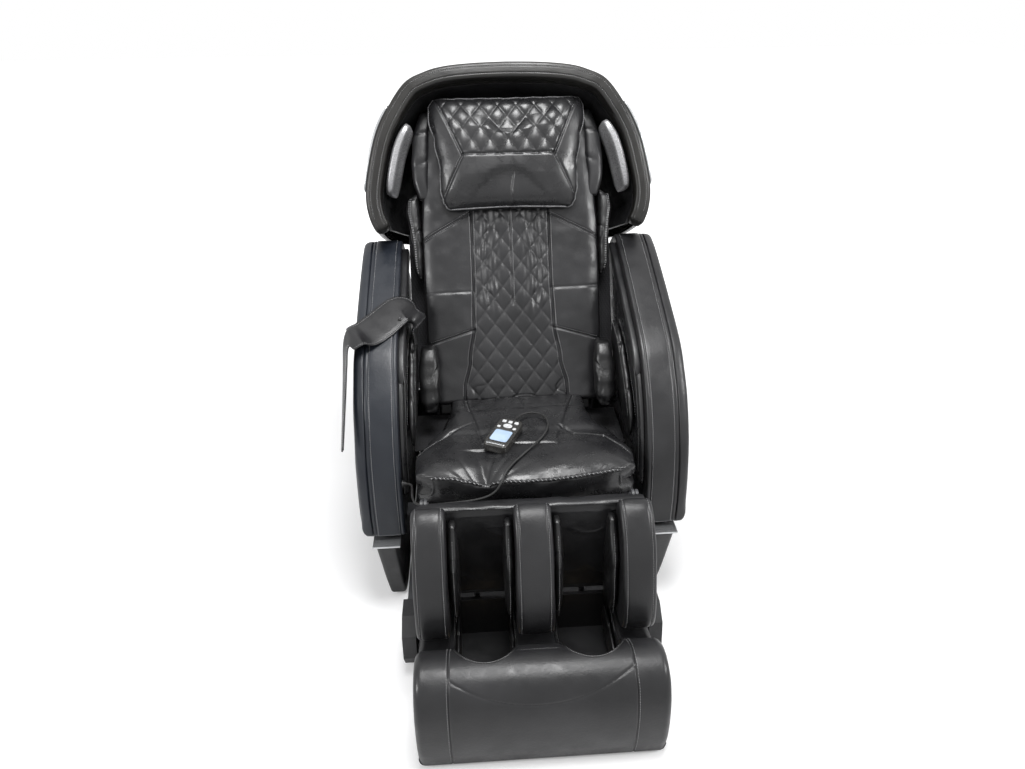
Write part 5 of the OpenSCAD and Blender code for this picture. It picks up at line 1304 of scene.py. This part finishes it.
# %% Calf columns, wall and airbags
WALL_Y, CALF_HEART = -355.3, (-420, 280)
CALF_POINTS = [[WALL_Y, 152], [-440, 156], [-482, 164], [-497, 190], [-494, 230], [-478, 285],
               [-455, 338], [-426, 380], [-394, 406], [-368, 410], [WALL_Y, 392]]
calf_line = even(np.vstack([curve(CALF_POINTS, 12), [[WALL_Y, 270], [WALL_Y, 153]]]), 200)[:-1]
columns = [block(calf_line, CALF_HEART, x0, x1, 8, 1.6, (8.5,), n, 0.3, WALL_Y)
           for x0, x1, n in ((-38, 38, 44), (176, 244, 40), (-244, -176, 40))]
for grid in columns:
    grid[..., 0] += 0.5 * noise(grid[..., 1], grid[..., 2], 50, 14)
lofts("calf_column_leather", columns, "legrest", HIDE, ["calf_columns"])
calf_n = normals(calf_line)
calf_n *= np.sign(np.sum(calf_n * (calf_line - CALF_HEART)))
shown = calf_line[:, 0] < -362
for x in (-30, 30, 184, 236, -184, -236):
    line = np.c_[np.full(shown.sum(), x), calf_line[shown] - calf_n[shown] * 0.2]
    sew("legrest", line, np.c_[np.zeros(shown.sum()), calf_n[shown]], 5.2, 3.4, 0.36)

WALL_Z = 271
WALL_EDGE = [(-340, 3), (-341, 1.2), (-345, 0), (-350, 0), (-353.5, 1.0), (-355.2, 3.0), (WALL_Y, 6.0)]
wall = []
for y, inset in WALL_EDGE:
    q = ring(238 - inset, 121 - inset, 16, 240)
    wall.append(np.c_[q[:, 0], np.full(240, y), WALL_Z + q[:, 1]])
wall = np.array(wall)
f = np.linspace(0.97, 0.03, 40)[:, None, None]
front_face = rot([0, WALL_Y, WALL_Z]) + (wall[-1] - [0, WALL_Y, WALL_Z])[None] * f
soft = 1.6 * noise(front_face[..., 0], front_face[..., 2] * 0.5, 36, 16)
soft += 1.4 * crease(front_face[..., 0], front_face[..., 2], 60, 17)
front_face[..., 1] -= np.clip(2.4 + soft, 0.2, 6) * np.clip((1 - f[..., 0]) * 12, 0, 1)
loft("calf_wall_leather", np.concatenate([wall, front_face]), "legrest", HIDE, ["calf_back"])

z = np.linspace(163, 377, 120)
reach = glide([[150, -452], [210, -458], [300, -444], [385, -400]], z)
flaps = []
for x, shift in ((50.4, 31), (163.6, 33)):
    centre = np.stack([np.full(120, x), (reach + WALL_Y) / 2, z], -1)
    flap = bag(centre, [1, 0, 0], [0, 1, 0], 11.6, (WALL_Y - reach) / 2, 60, 0.05, 2.6, 60, shift)
    lean_in = 2.2 * crease(flap[..., 1] * 1.0, flap[..., 2] * 0.16, 22, shift)
    flap[..., 0] += lean_in * np.sign(x - flap[..., 0])
    flaps += [flap, mirror(flap)]
    rim = centre + np.c_[np.zeros(120), (reach - WALL_Y) / 2, np.zeros(120)]
    for flip in (-1, 1):
        sew("legrest", (rim * [flip, 1, 1])[8:-8] + [0, -0.6, 0], [0, -1, 0], 5.4, 3.6, 0.42)
lofts("calf_airbag_skins", flaps, "legrest", THIN_HIDE, ["calf_airbags"])

# %% [markdown]
# ## The foot unit
# A deep roll of foam under leather with two round-ended wells for the feet. The roll is an outline
# carried across; the wells are cut through its top, and a piping covers each cut edge, as on the
# real cover, where the lining of the well is sewn in.

# %% Foot roll
FOOT_POINTS = [[-346, 8], [-346, 70], [-346, 122], [-351, 132], [-400, 134], [-470, 136], [-506, 152], [-530, 186],
               [-560, 206], [-596, 208], [-632, 190], [-655, 150], [-664, 100], [-664, 50], [-656, 8]]
foot_line = even(curve(FOOT_POINTS, 20), 300)
foot_line = np.vstack([foot_line, np.stack([np.linspace(-652, -350, 24), np.full(24, 8.0)], -1)])
foot_reach = np.r_[0, np.cumsum(np.linalg.norm(np.diff(foot_line, axis=0), axis=1))]


def smile(x):
    """Where the curved front seam lies along the outline: 474 - 54 (x / 172)^2."""
    return 474 - 54 * ((x + 8) / 172) ** 2


WELL_X, WELL_R, WELL_FRONT, WELL_FLOOR = 105, 64, -586, 26
foot = block(foot_line, (-520, 90), -244, 244, 14, 0.4, (66.0,), 250, 0.2)
x = foot[..., 0]
out = normals(foot_line)
out *= np.sign(np.sum(out * (foot_line - [-520, 90])))
middle = (np.abs(x) < 178) * np.clip(np.sin(np.pi * np.clip((foot_reach - 330) / 330, 0, 1)), 0, 1)[None]
deep = 1.8 * groove(foot_reach[None] - smile(x), 2.2) * (np.abs(x) < 177) + 1.5 * groove(foot_reach[None] - 363, 2.0) * (np.abs(x) < 40)
deep = deep + middle * (0.8 * noise(x, foot_reach[None] + 0 * x, 80, 18) - 1.2)
deep *= (np.abs(x) < 236) * (foot_line[:, 1] > 12)[None]
foot[..., 1:] -= out[None] * deep[..., None]
foot[..., 1] = np.minimum(foot[..., 1], -346)
foot[..., 2] = np.maximum(foot[..., 2], 8)
roll_skin = loft("foot_roll_leather", foot, "footrest", HIDE, ["foot_shell"])


def well(radius, low, high, far=-358.0, n=64):
    """Rings of a well: a half circle at the front and straight sides back to the heel."""
    a = np.linspace(np.pi, 2 * np.pi, n)
    arc = np.c_[radius * np.cos(a), WELL_FRONT + WELL_R + radius * np.sin(a)]
    back = np.c_[np.linspace(radius, -radius, 12)[1:-1], np.full(10, far)]
    sides = np.linspace(arc[-1, 1], far, 24)[1:]
    flat = np.vstack([arc, np.c_[np.full(23, radius), sides], back, np.c_[np.full(23, -radius), sides[::-1]]])
    return np.array([np.c_[flat, np.full(len(flat), z)] for z in np.linspace(low, high, 8)])


cutters = []
for flip in (-1, 1):
    rows = well(WELL_R, WELL_FLOOR, 300) + [flip * WELL_X, 0, 0]
    points, faces = faces_of(rows, wrap=True, caps=True)
    cutters.append(new_object("well_cutter", points, outward(points, faces)))
    slot = stack([(46, 22, 13, 0), (46, 22, WELL_FLOOR + 1, 0)], 40, 12) + [flip * WELL_X, -470, 0]
    points, faces = faces_of(slot, wrap=True, caps=True)
    cutters.append(new_object("roller_slot", points, outward(points, faces)))
for cutter in cutters:
    cut = roll_skin.modifiers.new("cut", "BOOLEAN")
    cut.operation, cut.object, cut.solver = "DIFFERENCE", cutter, "EXACT"
cut_mesh = bpy.data.meshes.new_from_object(roll_skin.evaluated_get(bpy.context.evaluated_depsgraph_get()))
roll_skin.modifiers.clear()
roll_skin.data = cut_mesh
for cutter in cutters:
    bpy.data.objects.remove(cutter)
cut_mesh.set_sharp_from_angle(angle=math.radians(42))
if not cut_mesh.materials:
    cut_mesh.materials.append(HIDE)
print("foot roll after its wells:", len(cut_mesh.polygons), "faces")


def foot_top(y):
    """Height of the roll's top at y: the outline's upper branch."""
    upper = foot_line[(foot_reach > 110) & (foot_reach < 420)][::-1]
    return np.interp(y, upper[:, 0], upper[:, 1])


rims = []
for flip in (-1, 1):
    ringed = well(WELL_R - 0.6, 0, 1)[0]
    ringed = ringed[np.r_[len(ringed) - 23 : len(ringed), 0 : 64 + 23]][3:-3]
    rim = np.c_[ringed[:, 0] + flip * WELL_X, ringed[:, 1], foot_top(ringed[:, 1]) + 0.4]
    rim = even(rim[rim[:, 1] < -362], 200)
    rims.append(tube(rim, 2.4, 10))
    sew("footrest", rim + [0, -0.4, 1.9], [0, -0.3, 1], 5.2, 3.4, 0.38)
    grow = rim.copy()
    grow[:, :2] += (rim[:, :2] - [flip * WELL_X, WELL_FRONT + WELL_R]) * 0.1
    grow[:, 2] = foot_top(grow[:, 1])
    sew("footrest", grow[60:140], [0, -0.3, 1], 5.2, 3.4, 0.34)
lofts("foot_well_piping", rims, "footrest", THIN_HIDE)
seen = (foot_reach > 320) & (foot_reach < 628)
for x in (-178, 178):
    for gap in (-3, 3):
        sew("footrest", np.c_[np.full(seen.sum(), x + gap), foot_line[seen]], np.c_[np.zeros(seen.sum()), out[seen]], 5.2, 3.4, 0.34)
xs = np.linspace(-174, 174, 160)
for gap in (-3.5, 3.5):
    at = smile(xs) + gap
    line = np.stack([xs, np.interp(at, foot_reach, foot_line[:, 0]), np.interp(at, foot_reach, foot_line[:, 1])], -1)
    n_at = np.stack([0 * xs, np.interp(at, foot_reach, out[:, 0]), np.interp(at, foot_reach, out[:, 1])], -1)
    sew("footrest", line, n_at, 5.2, 3.4, 0.36)
line = np.linspace((-38, 363), (38, 363), 30)
sew("footrest", np.stack([line[:, 0], np.interp(360, foot_reach, foot_line[:, 0]) + 0 * line[:, 0], np.interp(360, foot_reach, foot_line[:, 1]) + 0 * line[:, 0]], -1), [0, 0.4, 0.9], 5.2, 3.4, 0.36)

y = np.linspace(-515, -373, 90)
side_bags = []
for x, shift in ((41 + 6.8, 41), (169 - 6.8, 43)):
    centre = np.stack([np.full(90, x), y, np.full(90, 96.0)], -1)
    made = bag(centre, [1, 0, 0], [0, 0, 1], 5.8, 29, 18, 0.12, 3, 36, shift)
    side_bags += [made, mirror(made)]
lofts("foot_airbag_skins", side_bags, "footrest", THIN_HIDE, ["foot_airbags"])

# %% [markdown]
# ## Skirts and fittings
# The side skirts are covered panels that narrow towards the floor. What is left is metal and
# moulding that already has its true shape, and only needs a finish.

# %% Skirts
z = np.linspace(0, 1, 50)
skirts = []
for flip in (-1, 1):
    rows = []
    for t in z:
        hw = 338 + 16 * t**0.8
        front, low = -206 - 40 * t, 5.5 * (1 - min(1, t / 0.04)) ** 2
        rows.append([((293 + hw) / 2, (hw - 293) / 2 - low, (front + 448) / 2, (448 - front) / 2 - low, 6.2 + 188.4 * t)])
    rows = np.array(rows)[:, 0]
    rings = np.stack([np.c_[ring(r[1], r[3], 9, 160) + [r[0], r[2]], np.full(160, r[4])] for r in rows])
    rings[..., 0] += 0.5 * noise(rings[..., 1], rings[..., 2], 60, 19)
    skirts.append(rings * [flip, 1, 1])
for name, rings in zip(("left", "right"), skirts):
    loft(f"skirt_{name}_cover", rings, "base", HIDE, [f"skirt_{name}"])

# %% Finishes of the remaining fittings
FITTINGS = {
    STEEL: ["base_frame", "back_frame", "legrest_frame", "foot_frame", "massage_carriage"],
    RUBBER: ["rubber_feet", "wheel_left", "wheel_right"],
    PLASTIC: ["rail_nose_covers", "rear_cover", "seat_pan", "control_box", "power_inlet", "arm_cores"],
    ALLOY: ["air_pump", "recline_actuator", "legrest_actuator"],
    ROD: ["recline_rod", "legrest_rod"],
    SILVER: ["skirt_trims"],
    ROLLER: ["upper_rollers", "lower_rollers", "sole_roller_left", "sole_roller_right"],
    SCREEN: ["handset_screen"],
    SWITCH: ["rocker_switch"],
}
nodes = {thing["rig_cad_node"]: thing for thing in bpy.data.objects if "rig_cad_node" in thing}
for finish, names in FITTINGS.items():
    for name in names:
        slots = nodes[name].material_slots
        for slot in slots:
            slot.material = finish
        if not slots:
            nodes[name].data.materials.append(finish)
print(len(nodes), "solids from the drawing,", sum(len(v) for v in FITTINGS.values()), "of them shown as they are")

# %% Stitches
for body in list(THREAD):
    sewn(body, THREADS)
